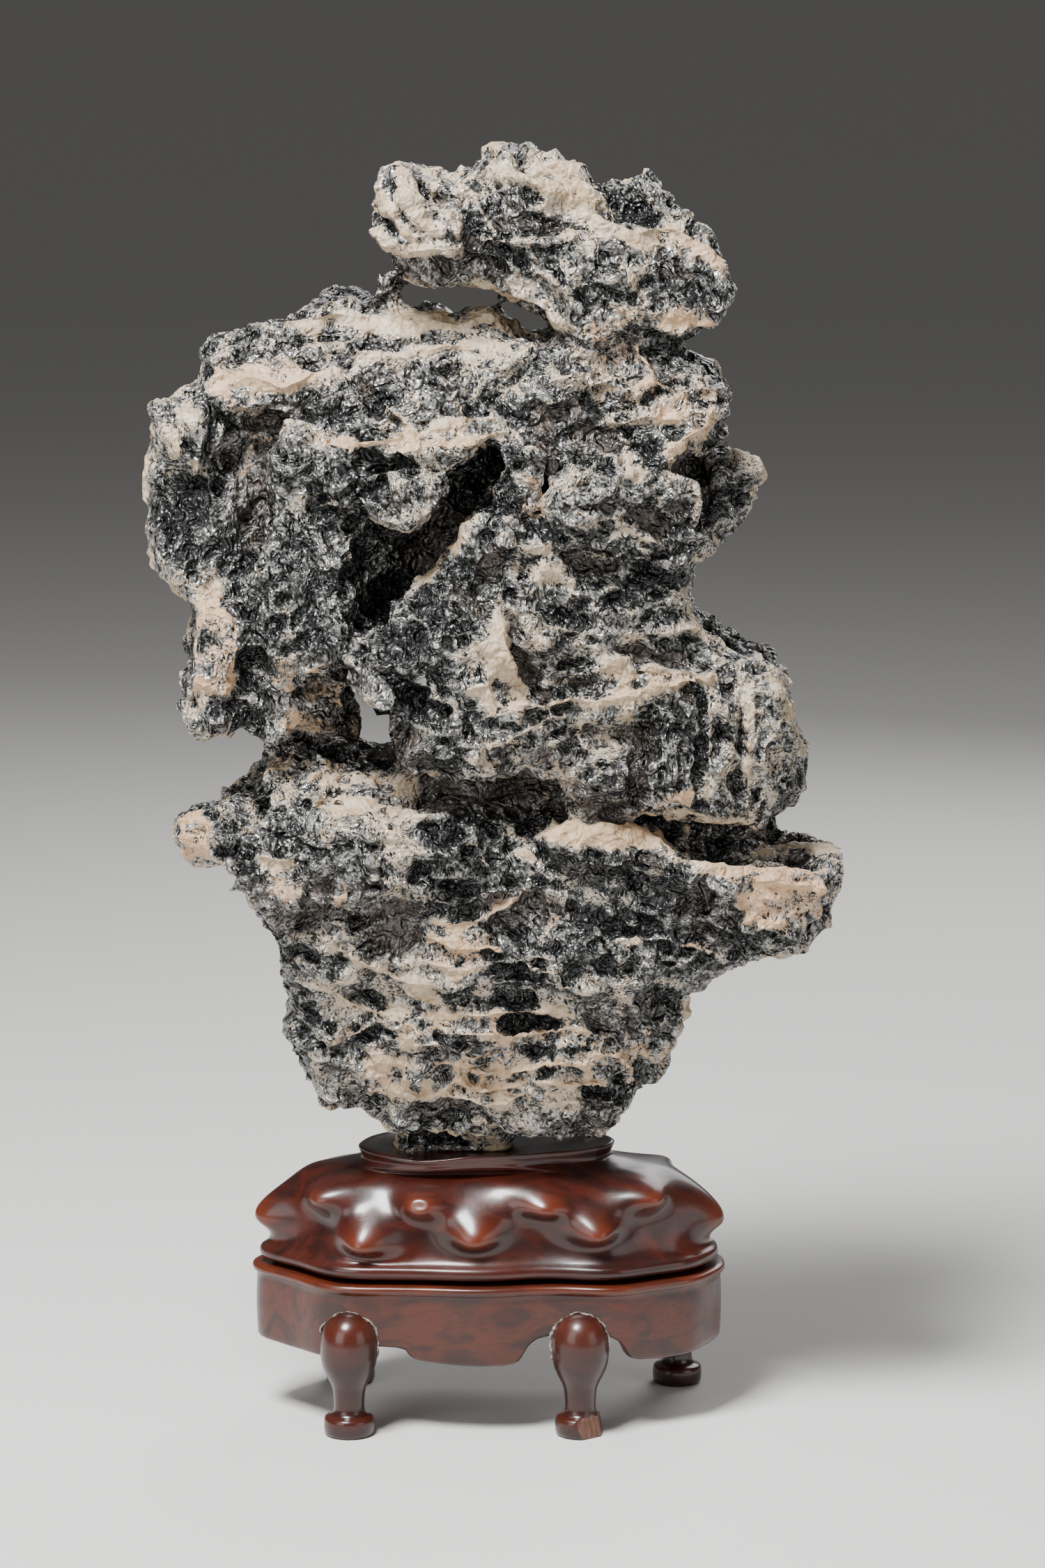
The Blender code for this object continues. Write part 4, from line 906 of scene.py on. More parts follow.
def limestone(looks):
    """Near-black, sparkling limestone under a patchy crust of cream and peach calcite."""
    s = Shading("limestone")
    crust = s.attribute("crust")
    blush = s.attribute("blush")
    stain = s.attribute("stain")
    crest = s.attribute("crest")
    fleck = s.noise(1.7, 5.0, 0.68)
    speck = s.noise(0.55, 2.0, 0.6)
    drift = s.noise(9.0, 3.0, 0.6)
    wisps = s.ridged(4.2, 3.0, 2.2)
    threads = s.math("MAXIMUM", s.ramp(wisps, 0.86, 0.97), s.ramp(s.ridged(9.0, 3.0, 2.0), 0.90, 0.97))
    threads = s.math("MULTIPLY", threads, s.ramp(drift, 0.40, 0.58))
    # Where the crust lies: its attribute, broken up by grains, with thin threads of it on the bare rock
    lean = s.math("MULTIPLY_ADD", s.math("SUBTRACT", fleck, 0.5), 0.62, crust)
    lean = s.math("MULTIPLY_ADD", s.math("SUBTRACT", speck, 0.5), 0.2, lean)
    lean = s.math("MULTIPLY_ADD", threads, 0.42, lean)
    pale = s.ramp(lean, looks.bare, looks.bare + 0.12)
    # Near-black rock with painted highlights: light grey on crests and along wrinkle lines, standing in for
    # glints, and grey dust where the crust thins out
    wrinkle_glints = s.ramp(s.ridged(3.0, 2.0, 1.0), 0.52, 0.93)
    dust_and_painted_glint = s.math("MULTIPLY", s.ramp(s.math("MULTIPLY_ADD", crest, 0.5, lean), 0.26, 0.95), wrinkle_glints)
    dark = s.mix(dust_and_painted_glint, colour(*looks.rock_dark), colour(*looks.rock_dust_and_painted_glint))
    # Crust from cream to white and peach, and greyer in its pits
    cream = s.mix(s.ramp(drift, 0.35, 0.65), colour(*looks.crust_cream), colour(*looks.crust_white))
    peach = s.ramp(s.math("MULTIPLY_ADD", drift, 0.8, blush), 0.55, 1.30, 0.0, 0.85)
    cream = s.mix(peach, cream, colour(*looks.crust_peach))
    cream = s.mix(s.ramp(fleck, 0.60, 0.30, 0.0, 0.35), cream, colour(*CRUST_SHADE))
    base = s.mix(pale, dark, cream)
    base = s.mix(s.math("MULTIPLY", stain, 0.72), base, colour(*looks.stain))
    s.finish("Base Color", base)
    # Bare rock is glossy and partly metallic, crust and dust are dull
    bare = s.math("SUBTRACT", 1.0, s.math("MAXIMUM", pale, stain))
    s.finish("Metallic", s.math("MULTIPLY", bare, looks.sheen, clamp=True))
    gloss = s.ramp(s.noise(1.3, 3.0, 0.7), 0.35, 0.7, 0.20, 0.36)
    rough = s.math("MULTIPLY_ADD", s.math("SUBTRACT", 0.6, gloss), pale, gloss)
    rough = s.math("MAXIMUM", rough, s.math("MULTIPLY", stain, 0.62))
    s.finish("Roughness", rough)
    s.finish("Specular IOR Level", 0.7)
    coarse = s.bump(s.ridged(6.5, 1.6, 1.0), 6.0, s.ramp(pale, 0.0, 1.0, 0.8, 0.35))
    granular = s.bump(s.noise(4.2, 2.0, 0.5), 4.6, s.ramp(pale, 0.0, 1.0, 1.0, 0.35), coarse)
    s.finish("Normal", granular)
    return s.material


def rosewood(name, looks, pale, grain_turn, lit):
    """Polished red-brown hardwood: long grain, dark bands, and a lighter tone on knobs, bulbs and the flange,
    partly wear and partly painted highlight.
    """
    s = Shading(name)
    along = s.mapped(scale=(0.14, 1.0, 1.0), turn=grain_turn)
    fibre = s.noise(1.1, 4.0, 0.7, 0.4, along)
    bands = s.mapped(scale=(0.35, 1.0, 1.0), turn=grain_turn, shift=(0.1, 0.2, 0))
    band = s.noise(13.0, 4.0, 0.55, 2.2, bands)
    pores = s.noise(0.45, 2.0, 0.5, 0.0, s.mapped(scale=(0.06, 1.0, 1.0), turn=grain_turn))
    worn = s.attribute("worn")
    wood = s.mix(s.ramp(band, 0.36, 0.60, 0.15, 1.0), colour(*looks.deep), colour(*pale))
    wood = s.mix(s.ramp(fibre, 0.35, 0.75, 0.0, 0.45), wood, colour(*looks.deep))
    wood = s.mix(s.ramp(pores, 0.62, 0.75, 0.0, 0.6), wood, colour(*PORE_SHADE))
    # Painted highlight and wear: the lighter tone where the attribute marks knob tips, the flange and the leg
    # bulbs, scaled by lit
    wood = s.mix(s.math("MULTIPLY", worn, lit), wood, colour(*looks.worn))
    broken = s.attribute("broken")
    splinter = s.noise(0.9, 4.0, 0.7, 0.2, s.mapped(scale=(1.0, 1.0, 0.15)))
    raw = s.mix(s.ramp(splinter, 0.35, 0.65), colour(*looks.broken), colour(*SPLINTER_SHADE))
    s.finish("Base Color", s.mix(broken, wood, raw))
    rough = s.ramp(s.noise(14.0, 4.0, 0.6), 0.3, 0.7, 0.26, 0.40)
    s.finish("Roughness", s.math("MULTIPLY_ADD", broken, 0.3, rough))
    s.finish("Coat Weight", looks.polish)
    s.finish("Coat Roughness", 0.16)
    s.finish("Specular IOR Level", 0.35)
    grain = s.bump(fibre, 0.10, 0.35)
    s.finish("Normal", s.bump(s.noise(7.0, 2.0, 0.5), 0.5, 0.25, grain))
    return s.material


def old_glue(looks):
    """Dull, dirty glue."""
    s = Shading("old_glue")
    dirt = s.ramp(s.noise(1.5, 4.0, 0.7), 0.35, 0.65)
    s.finish("Base Color", s.mix(dirt, colour(*GLUE_SHADE), colour(*looks.glue)))
    s.finish("Roughness", 0.8)
    s.finish("Normal", s.bump(s.noise(0.8, 3.0, 0.7), 0.5, 0.8))
    return s.material


def plain(name, tone, rough):
    s = Shading(name)
    s.finish("Base Color", colour(*tone))
    s.finish("Roughness", rough)
    return s.material


def colour_property(name, description, default):
    return bpy.props.FloatVectorProperty(
        name=name, description=description, default=default, subtype="COLOR", min=0, max=1
    )


def share_property(name, description, default, largest=1):
    return bpy.props.FloatProperty(name=name, description=description, default=default, min=0, max=largest)


def power_property(name, description, default):
    return bpy.props.FloatProperty(name=name, description=description, default=default, unit="POWER")


class StoneLooks(bpy.types.PropertyGroup):
    rock_dark: colour_property("Rock, dark", "Dark grains of the limestone", (0.026, 0.027, 0.027))
    # The light grey of dust on the rock and of the painted highlights on its crests and wrinkles
    rock_dust_and_painted_glint: colour_property("Rock, light", "Light grains of the limestone", (0.40, 0.395, 0.375))
    crust_cream: colour_property("Crust, cream", "Cream calcite crust", (0.43, 0.305, 0.18))
    crust_white: colour_property("Crust, white", "Whitest calcite crust", (0.54, 0.435, 0.31))
    crust_peach: colour_property("Crust, peach", "Peach-stained crust", (0.55, 0.335, 0.18))
    stain: colour_property("Stain", "Taupe dust in the recesses", (0.16, 0.125, 0.10))
    bare: share_property("Bare rock", "How much of the rock shows through the crust", 0.72)
    sheen: share_property("Silver sheen", "How metallic the polished dark rock looks", 0.5)
    coarse: share_property("Coarse blocks", "How boldly the large blocks are cut", 1.0, 2)
    fine: share_property("Fine blocks", "How boldly the small blocks are cut", 1.0, 2)


class WoodLooks(bpy.types.PropertyGroup):
    carved: colour_property("Mound", "Carved wood of the mound", (0.056, 0.0095, 0.005))
    skirt: colour_property("Apron", "Wood of the apron", (0.076, 0.0135, 0.005))
    turned: colour_property("Legs", "Wood of the turned legs", (0.034, 0.008, 0.006))
    deep: colour_property("Dark bands", "Darkest bands of the wood", (0.018, 0.005, 0.004))
    # Lighter tone of wear and painted highlight on knobs, flange and leg bulbs
    worn: colour_property("Worn", "Where hands have worn the polish", (0.19, 0.036, 0.012))
    broken: colour_property("Broken wood", "Raw wood of the broken foot pad", (0.17, 0.080, 0.052))
    glue: colour_property("Glue", "Old glue round the legs", (0.34, 0.30, 0.26))
    polish: share_property("Polish", "Strength of the clear polish", 0.45)


class StageLooks(bpy.types.PropertyGroup):
    floor: colour_property("Floor", "Plain pale floor", (0.72, 0.71, 0.69))
    key: power_property("Key light", "Soft light from above", 42)
    fill: power_property("Fill light", "Soft light from the right", 4)
    front: power_property("Front light", "Soft light from the left", 8)
    rim: power_property("Rim light", "Soft light from behind", 8)


def ranked(values):
    """Each value's place among all of them, from 0 to 1."""
    order = np.empty(len(values))
    order[np.argsort(values, kind="stable")] = np.linspace(0, 1, len(values))
    return order


def crests(mesh, rounds):
    """How far each point stands out of the skin around it, in millimetres."""
    points = co_of(mesh)
    normals = normals_of(mesh)
    soften(mesh, rounds)
    out = ((points - co_of(mesh)) * normals).sum(axis=1)
    set_co(mesh, points)
    return out


def thin_out(obj, triangles, hidden):
    """Merges faces until so many triangles are left, more of them where the skin is hidden."""
    group = obj.vertex_groups.new(name="hidden")
    for share, low, high in MERGED:
        group.add(np.flatnonzero((hidden > low) & (hidden <= high)).tolist(), share, "REPLACE")
    now = sum(len(polygon.vertices) - 2 for polygon in obj.data.polygons)
    apply_modifier(obj, "DECIMATE", ratio=triangles / now, vertex_group=group.name)
    obj.vertex_groups.clear()


def drawn_along(points, tilt, stretch):
    """The points squeezed along a slope of the front, which draws out what is laid over them."""
    turn = math.radians(tilt)
    along = points[:, 0] * math.cos(turn) + points[:, 2] * math.sin(turn)
    across = points[:, 2] * math.cos(turn) - points[:, 0] * math.sin(turn)
    return np.stack((along / stretch, points[:, 1], across * 1.1), axis=1)


def folded(points, size, seed):
    """Facets folded into sharp crests and valleys."""
    return np.abs(facets(points, size, seed)) - 0.25


def blocky(points):
    """The stone's broken blocks, in millimetres: large and small facets, some of them folded."""
    large = 3.8 * facets(points, 15.0, 150) - 3.6 * folded(points, 10.0, 161)
    return large + 3.6 * folded(points, 6.5, 172) + 1.3 * facets(points, 4.0, 177)


def grown(points):
    """Where crust takes hold beyond the crests: streaks, thin veins and the edges of the blocks."""
    veins = np.exp(-((fractal(warped(points, 12.0, 4.0, 350), 9.0, 360, 2) / 0.035) ** 2))
    edges = np.exp(-((facets(points, 10.0, 161) / 0.06) ** 2))
    return 0.5 * fractal(points, 7.5, 400, 2) + 0.5 * veins + 0.12 * edges


def finishes(points, x, z, facing):
    """How much crust, blush and stain lies at each point: placed one by one in front, at random behind."""
    wild = smooth_step(fractal(points, 34.0, 41, 3), -0.30, 0.40) * 0.72 + 0.10
    crust = painted(x, z, wild, CRUST_PATCHES) * facing + wild * (1 - facing)
    blush = painted(x, z, np.full(len(x), 0.12), BLUSH_PATCHES) * facing
    blush += (1 - facing) * smooth_step(noise(points, 30.0, 77), 0.1, 0.7) * 0.6
    stain = painted(x, z, np.zeros(len(x)), STAIN_PATCHES) * facing
    stain *= 0.25 + 0.6 * smooth_step(fractal(points, 6.0, 470), -0.4, 0.4)
    return crust, blush, stain


def laid_along_flows(points, x, z):
    """The height of the blocks at each point, and how readily crust grows there."""
    slanting = painted(x, z, np.zeros(len(x)), SLANTING_PATCHES)
    upright = painted(x, z, np.zeros(len(x)), UPRIGHT_PATCHES)
    shares = np.stack((np.maximum(1 - slanting - upright, 0), slanting, upright))
    shares /= shares.sum(axis=0)
    blocks = np.zeros(len(x))
    growth = np.zeros(len(x))
    for share, (tilt, stretch) in zip(shares, FLOWS):
        laid = drawn_along(points, tilt, stretch)
        blocks += share * blocky(laid)
        growth += share * grown(laid)
    return blocks, growth


def closed_part(x, z):
    """1 where the stone's relief may close a hollow, and 0 in the ways through that stay open."""
    closed = np.ones(len(x))
    for (x0, z0), (half_x, half_z) in KEPT_OPEN:
        closed *= smooth_step(np.hypot((x - x0) / half_x, (z - z0) / half_z), 0.7, 1.5)
    return closed


def note_finishes(mesh, crust, blush, stain, growth, lines, facing):
    """Keeps in attributes how much crust, blush, stain and crest each point of the skin has."""
    broad = crests(mesh, 16)
    crest = np.clip(0.5 + 0.55 * crests(mesh, 3) + 0.22 * broad, 0, 1)
    detail = 0.15 * crest + 0.16 * np.clip(broad, -1.5, 1.5) + growth + lines
    spread = 0.70 + 0.55 * (1 - facing)
    add_attribute(mesh, "crust", np.clip(0.86 * crust - 0.03 + spread * (ranked(detail) - 0.5), 0, 1))
    add_attribute(mesh, "blush", np.clip(blush, 0, 1))
    add_attribute(mesh, "stain", np.clip(stain * (1.25 - crest), 0, 1))
    add_attribute(mesh, "crest", crest)


def sculpt_stone(obj, looks):
    """Pushes the stone's skin into relief, notes where each finish lies, and thins the mesh."""
    mesh = obj.data
    soften(mesh, 4)
    points = co_of(mesh)
    normals = normals_of(mesh)
    x, z = seen_from_front(points)
    away = points - EYE
    away /= np.linalg.norm(away, axis=1)[:, None]
    towards = -(normals * away).sum(axis=1)
    facing = smooth_step(towards, 0.0, 0.3)
    # What is placed one by one gets wavering edges
    x = x + 0.9 * fractal(points, 5.0, 900) + 0.8 * noise(points, 11.0, 910)
    z = z + 0.9 * fractal(points, 5.0, 930) + 0.8 * noise(points, 11.0, 940)

    crust, blush, stain = finishes(points, x, z, facing)
    rise, ridge_cover = strokes(x, z, RIDGES)
    dip, groove_cover = strokes(x, z, GROOVES)
    fill = FILL_GAIN * strokes(x, z, FILLS)[0] * (points[:, 1] < FILL_BACK_Y)
    bent = warped(points, 16.0, 3.0, 100)
    blocks, growth = laid_along_flows(bent, x, z)
    small = folded(warped(bent, 5.0, 1.0, 140), 3.4, 183)
    drips = 0.5 - np.abs(fractal(warped(points, 9.0, 3.0, 300) * np.array((0.7, 1, 1.7)), 6.5, 310))
    beads = 0.5 - np.abs(noise(points, 2.6, 320))
    # Blocks are softer under thick crust, in stained hollows, and beside what is listed
    waxy = smooth_step(crust, 0.5, 0.9)
    covered = np.maximum(ridge_cover, groove_cover)
    calm = (1 - 0.4 * waxy) * (1 - 0.3 * stain) * (1 - 0.5 * facing * covered)
    bold = calm * looks.coarse * blocks
    push(mesh, fill)
    push(mesh, facing * (RIDGE_GAIN * rise - dip))
    push(mesh, bold - (1 - closed_part(x, z)) * np.maximum(bold - 0.8, 0))
    wax = 1.1 * (drips - 0.3) + 0.6 * (beads - 0.3)
    push(mesh, calm * looks.fine * small + waxy * wax - SKIN_DROP)

    # The underside and the solid's box are kept
    low, high = (np.array(corner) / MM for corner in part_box("stone"))
    starts, whole = SEAT_FADE
    relief = smooth_step(points[:, 2], SEAT_Z + starts, SEAT_Z + whole)[:, None]
    places = points + (co_of(mesh) - points) * relief
    set_co(mesh, np.clip(places, low + (SKIN_MARGIN, SKIN_MARGIN, 0), high - SKIN_MARGIN))

    lines = facing * (ridge_cover - 0.6 * groove_cover)
    note_finishes(mesh, crust, blush, stain, growth, lines, facing)
    thin_out(obj, SKIN_TRIANGLES, 1 - smooth_step(towards, -0.25, 0.05))


class STONE_OT_rock(bpy.types.Operator):
    """Sculpts the stone on a fine copy of its solid"""

    bl_idname = "scholar_stone.rock"
    bl_label = "Stone"

    def execute(self, context):
        looks = context.scene.stone_looks
        obj = copy_of_node("stone", "rock")
        apply_modifier(obj, "REMESH", mode="VOXEL", voxel_size=SKIN_VOXEL * MM)
        sculpt_stone(obj, looks)
        pick(obj)
        bpy.ops.object.shade_smooth_by_angle(angle=math.radians(18))
        finish_piece(obj, limestone(looks), "limestone", "stone")
        return {"FINISHED"}


def rounded(points, rounds=4):
    """A closed outline with its corners cut again and again, which rounds them."""
    points = np.array(points, float)
    for _ in range(rounds):
        ahead = np.roll(points, -1, axis=0)
        cuts = (0.75 * points + 0.25 * ahead, 0.25 * points + 0.75 * ahead)
        points = np.stack(cuts, axis=1).reshape(-1, 2)
    return points


def spread_evenly(points, count):
    """The closed outline again, with count points at even distances."""
    closed = np.vstack((points, points[:1]))
    lengths = np.hypot(*np.diff(closed, axis=0).T)
    along = np.concatenate(((0,), np.cumsum(lengths)))
    places = np.linspace(0, along[-1], count, endpoint=False)
    return np.stack([np.interp(places, along, closed[:, axis]) for axis in range(2)], axis=1)


def stand_outline():
    """The stand's lobed outline seen from above."""
    back = [(x, -y) for x, y in reversed(STAND_FRONT[1:-1])]
    return spread_evenly(rounded(STAND_FRONT + tuple(back)), RIM_POINTS)


def moved_in(outline, inset):
    """The outline moved inwards by a distance, which may differ from point to point."""
    along = np.roll(outline, -1, axis=0) - np.roll(outline, 1, axis=0)
    inwards = np.stack((-along[:, 1], along[:, 0]), axis=1)
    inwards /= np.linalg.norm(inwards, axis=1)[:, None]
    return outline + inwards * np.reshape(inset, (-1, 1))


def loft(name, loops):
    """A closed skin through loops of equally many points, with a point at each end of it."""
    count = len(loops[0])
    shape = bmesh.new()
    first = shape.verts.new(loops[0].mean(axis=0) * MM)
    rings = [[shape.verts.new(point * MM) for point in loop] for loop in loops]
    last = shape.verts.new(loops[-1].mean(axis=0) * MM)
    for index in range(count):
        ahead = (index + 1) % count
        shape.faces.new((first, rings[0][ahead], rings[0][index]))
        for lower, upper in zip(rings, rings[1:]):
            shape.faces.new((lower[index], lower[ahead], upper[ahead], upper[index]))
        shape.faces.new((last, rings[-1][index], rings[-1][ahead]))
    bmesh.ops.recalc_face_normals(shape, faces=shape.faces)
    mesh = bpy.data.meshes.new(name)
    shape.to_mesh(mesh)
    shape.free()
    obj = bpy.data.objects.new(name, mesh)
    bpy.context.collection.objects.link(obj)
    return obj


def at_height(outline, heights):
    return np.column_stack((outline, np.broadcast_to(heights, len(outline))))


def dish_outline(outline):
    """The dish's rim, with one point in the direction of each point of the stand's outline."""
    rim = rounded(DISH_RIM)
    angles = np.arctan2(rim[:, 1], rim[:, 0])
    order = np.argsort(angles)
    reach = np.hypot(*rim.T)[order]
    wanted = np.arctan2(outline[:, 1], outline[:, 0])
    lengths = np.interp(wanted, angles[order], reach, period=2 * math.pi)
    return np.stack((np.cos(wanted), np.sin(wanted)), axis=1) * lengths[:, None]


def mound_loops():
    """The mound's outlines from its waist over the brink and the dish's rim to the dish's floor."""
    outline = stand_outline()
    stops = np.linspace(0, len(MOUND_PROFILE) - 1, MOUND_LOOPS)
    rows = np.arange(len(MOUND_PROFILE))
    profile = [np.interp(stops, rows, values) for values in np.transpose(MOUND_PROFILE)]
    loops = []
    for inset, height in zip(*profile):
        loops.append(at_height(outline * (1 - inset / np.array(STAND_HALF)), height))
    brink = loops[-1][:, :2]
    dish = dish_outline(outline)
    for share, size, height in VALLEY_PROFILE:
        loops.append(at_height(brink + (dish * size - brink) * share, height))
    for size, height in DISH_PROFILE:
        loops.append(at_height(dish * size, height))
    return loops


def hill(points, middle, half):
    """A soft hill over an oval seen from above: 1 in its middle."""
    across = (points[:, 0] - middle[0]) / half[0]
    back = (points[:, 1] - middle[1]) / half[1]
    return np.exp(-(across**2) - back**2)


def draw_out_knobs(points):
    """Draws the skin out to each knob's tip, as proportional editing does. Gives how far each point went."""
    near, far = KNOB_REACH
    drawn = np.zeros(len(points))
    for tip, half_width, half_height, droop in KNOBS:
        outwards = np.array((tip[0], tip[1] * STAND_HALF[0] / STAND_HALF[1], 0))
        outwards = outwards / np.linalg.norm(outwards)
        sideways = np.array((-outwards[1], outwards[0], 0))
        away = points - np.array(tip)
        depth = -away @ outwards
        tall = np.where(away[:, 2] > 0, 1.35 * half_height, half_height)
        spread = (away @ sideways / half_width) ** 2 + (away[:, 2] / tall) ** 2
        pull = np.clip((far - depth) / (far - near), 0, 1) * np.exp(-spread)
        pull = np.where((depth > 0) & (depth < far), pull, 0)
        points += pull[:, None] * depth[:, None] * outwards
        points[:, 2] -= droop * pull * pull
        drawn = np.maximum(drawn, pull)
    return drawn


def carve(mesh):
    """Carves the knobs, the wavy rim and the traces of the chisel. Gives how far each point was drawn out."""
    points = co_of(mesh)
    drawn = draw_out_knobs(points)
    points[:, 2] += 2.2 * hill(points, *FRONT_SWELL)
    steady = smooth_step(points[:, 2], 56, 60)[:, None]
    carved = 0.35 * np.stack([noise(points, 10.0, 610 + axis) for axis in range(3)], axis=1)
    points += carved * steady
    outer = smooth_step(np.hypot(points[:, 0] / DISH_HALF[0], points[:, 1] / DISH_HALF[1]), 0.7, 0.95)
    rim = smooth_step(points[:, 2], 87.0, 88.6) * outer
    points[:, 2] += rim * (0.9 * np.abs(points[:, 0]) / 44 - 1.5 * hill(points, *RIM_DIP))
    set_co(mesh, points)
    return drawn


def smooth_flank(mesh):
    """Softens the mound a little, and its flank with the knobs much more."""
    soften(mesh, 6)
    crisp = co_of(mesh)
    soften(mesh, 30)
    flank = smooth_step(crisp[:, 2], 55.5, 58) * (1 - smooth_step(crisp[:, 2], 82.5, 84.5))
    set_co(mesh, crisp + (co_of(mesh) - crisp) * flank[:, None])


def carve_ring(mesh):
    """Raises the small ring in front, with the hollow inside it."""
    places = co_of(mesh)
    across, up = seen_from_front(places)
    ring = np.hypot((across - RING_MIDDLE[0]) / RING_HALF[0], (up - RING_MIDDLE[1]) / RING_HALF[1])
    lip = 0.4 * np.exp(-(((ring - 1) / 0.3) ** 2)) - 0.45 * np.exp(-((ring / 0.6) ** 2))
    front = places[:, 1] < -15
    push(mesh, front * lip)


class STONE_OT_mound(bpy.types.Operator):
    """Carves the mound with its knobs and the dish for the stone"""

    bl_idname = "scholar_stone.mound"
    bl_label = "Carved mound"

    def execute(self, context):
        looks = context.scene.wood_looks
        obj = loft("carved_mound", mound_loops())
        drawn = carve(obj.data)
        smooth_flank(obj.data)
        carve_ring(obj.data)
        # The drawn-out knob tips get the lighter tone: partly wear, partly painted highlight
        add_attribute(obj.data, "worn", smooth_step(drawn, 0.35, 1.0))
        pick(obj)
        bpy.ops.object.shade_smooth()
        material = rosewood("rosewood_carved", looks, looks.carved, (0, 0, 6), 0.45)
        finish_piece(obj, material, "rosewood_carved", "mound")
        return {"FINISHED"}


def lower_edge(outline):
    """How low the apron comes at each point of its outline: lobes between arches over the legs."""
    front = np.interp(outline[:, 0], *np.array(APRON_EDGE).T)
    back = np.full(len(outline), LOBE_BOTTOM_Z) + 1.2 * smooth_step(np.abs(outline[:, 0]), 60, 80)
    for name, ((x, _), above, below) in LEGS.items():
        if "back" in name:
            along = outline[:, 0] - x
            arch = smooth_step(along, below[0], above[0]) * smooth_step(along, below[1], above[1])
            back = np.maximum(back, LOBE_BOTTOM_Z + (ARCH_TOP_Z - LOBE_BOTTOM_Z) * arch)
    return np.where(outline[:, 1] < 0, front, back)


class STONE_OT_apron(bpy.types.Operator):
    """Builds the lobed apron with its moulded flange"""

    bl_idname = "scholar_stone.apron"
    bl_label = "Apron"

    def execute(self, context):
        looks = context.scene.wood_looks
        outline = stand_outline()
        edge = lower_edge(outline)
        loops = [
            at_height(moved_in(outline, 9.0), APRON_CEILING_Z),
            at_height(moved_in(outline, 7.0), APRON_CEILING_Z - 0.6),
        ]
        for inset, rise in APRON_LIP:
            loops.append(at_height(moved_in(outline, inset), edge + rise))
        inset, rise = APRON_LIP[-1]
        top = APRON_TOP_Z - 3.4
        for step in range(1, SKIRT_LOOPS + 1):
            share = step / SKIRT_LOOPS
            belly = inset - 0.35 * math.sin(math.pi * share)
            loops.append(at_height(moved_in(outline, belly), edge + rise + (top - edge - rise) * share))
        for inset, height in APRON_FLANGE:
            loops.append(at_height(moved_in(outline, inset), height))
        obj = loft("apron_skirt", loops)
        # The flange's front band gets the lighter tone: partly wear, partly painted highlight
        add_attribute(obj.data, "worn", smooth_step(co_of(obj.data)[:, 2], 46.5, 49.0) * 0.4)
        pick(obj)
        bpy.ops.object.shade_smooth()
        material = rosewood("rosewood_apron", looks, looks.skirt, (0, 0, 0), 0.5)
        finish_piece(obj, material, "rosewood_apron", "apron")
        return {"FINISHED"}


def turned_leg(name, x, y):
    """A leg as it comes off the lathe: half a profile, spun round."""
    mesh = bpy.data.meshes.new(name)
    shape = bmesh.new()
    verts = [shape.verts.new((radius * MM, 0, height * MM)) for radius, height in LEG_PROFILE]
    for first, second in zip(verts, verts[1:]):
        shape.edges.new((first, second))
    shape.to_mesh(mesh)
    shape.free()
    obj = bpy.data.objects.new(name, mesh)
    bpy.context.collection.objects.link(obj)
    merge = {"use_merge_vertices": True, "merge_threshold": 0.01 * MM}
    apply_modifier(obj, "SCREW", steps=LEG_STEPS, render_steps=LEG_STEPS, **merge)
    pick(obj)
    bpy.ops.object.mode_set(mode="EDIT")
    bpy.ops.mesh.select_all(action="SELECT")
    bpy.ops.mesh.normals_make_consistent(inside=False)
    bpy.ops.object.mode_set(mode="OBJECT")
    set_co(obj.data, co_of(obj.data) + np.array((x, y, 0)))
    return obj


def break_pad(obj, x, y):
    """Breaks the foot pad off in front and on the right of the leg, along rough planes."""
    places = co_of(obj.data)
    away = places - np.array((x, y, 0))
    rough = 0.3 * fractal(places, 2.2, 820)
    low = 1 - smooth_step(away[:, 2], CHIP_TOP_Z - 0.3, CHIP_TOP_Z + 0.6)
    cut = np.zeros(len(places))
    for turn, reach in CHIPS:
        out = np.array((math.sin(math.radians(turn)), -math.cos(math.radians(turn)), 0))
        excess = low * np.maximum(away @ out - reach - rough - 0.22 * (6 - away[:, 2]), 0)
        away -= excess[:, None] * out
        cut = np.maximum(cut, excess)
    set_co(obj.data, away + np.array((x, y, 0)))
    add_attribute(obj.data, "broken", low * smooth_step(cut, 0.02, 0.35))


def glue_line(name, x, first, last, thick, seed):
    """A thin uneven bead of glue in the corner between a leg's top and the apron."""
    count = max(int(abs(last - first) / 3), 6)
    curve = bpy.data.curves.new(name, "CURVE")
    curve.dimensions = "3D"
    curve.bevel_depth = thick * MM
    curve.bevel_resolution = 2
    curve.use_fill_caps = True
    spline = curve.splines.new("POLY")
    spline.points.add(count - 1)
    outline = stand_outline()
    front = outline[outline[:, 1] < 0]
    order = np.argsort(front[:, 0])
    for index, point in enumerate(spline.points):
        share = index / (count - 1)
        angle = math.radians(first + (last - first) * share)
        spot = np.array((x, index * 1.7, seed))[None, :]
        reach = GLUE_REACH + 0.45 * noise(spot, 4.0, 830)[0]
        across = x + reach * math.cos(angle)
        tall = GLUE_DROP if math.sin(angle) < 0 else reach + 0.3
        up = GLUE_MIDDLE_Z + tall * math.sin(angle)
        wall = np.interp(across, front[order, 0], front[order, 1]) + 1.5
        point.co = (across * MM, (wall - 0.25) * MM, up * MM, 1)
        end = min(1, 6 * share + 0.25, 6 * (1 - share) + 0.25)
        point.radius = (0.75 + 0.55 * noise(spot, 2.5, 840)[0]) * end
    obj = bpy.data.objects.new(name, curve)
    bpy.context.collection.objects.link(obj)
    pick(obj)
    bpy.ops.object.convert(target="MESH")
    bead = bpy.context.object
    push(bead.data, 0.35 * thick * noise(co_of(bead.data), 1.1, 850))
    bpy.ops.object.shade_smooth()
    return bead


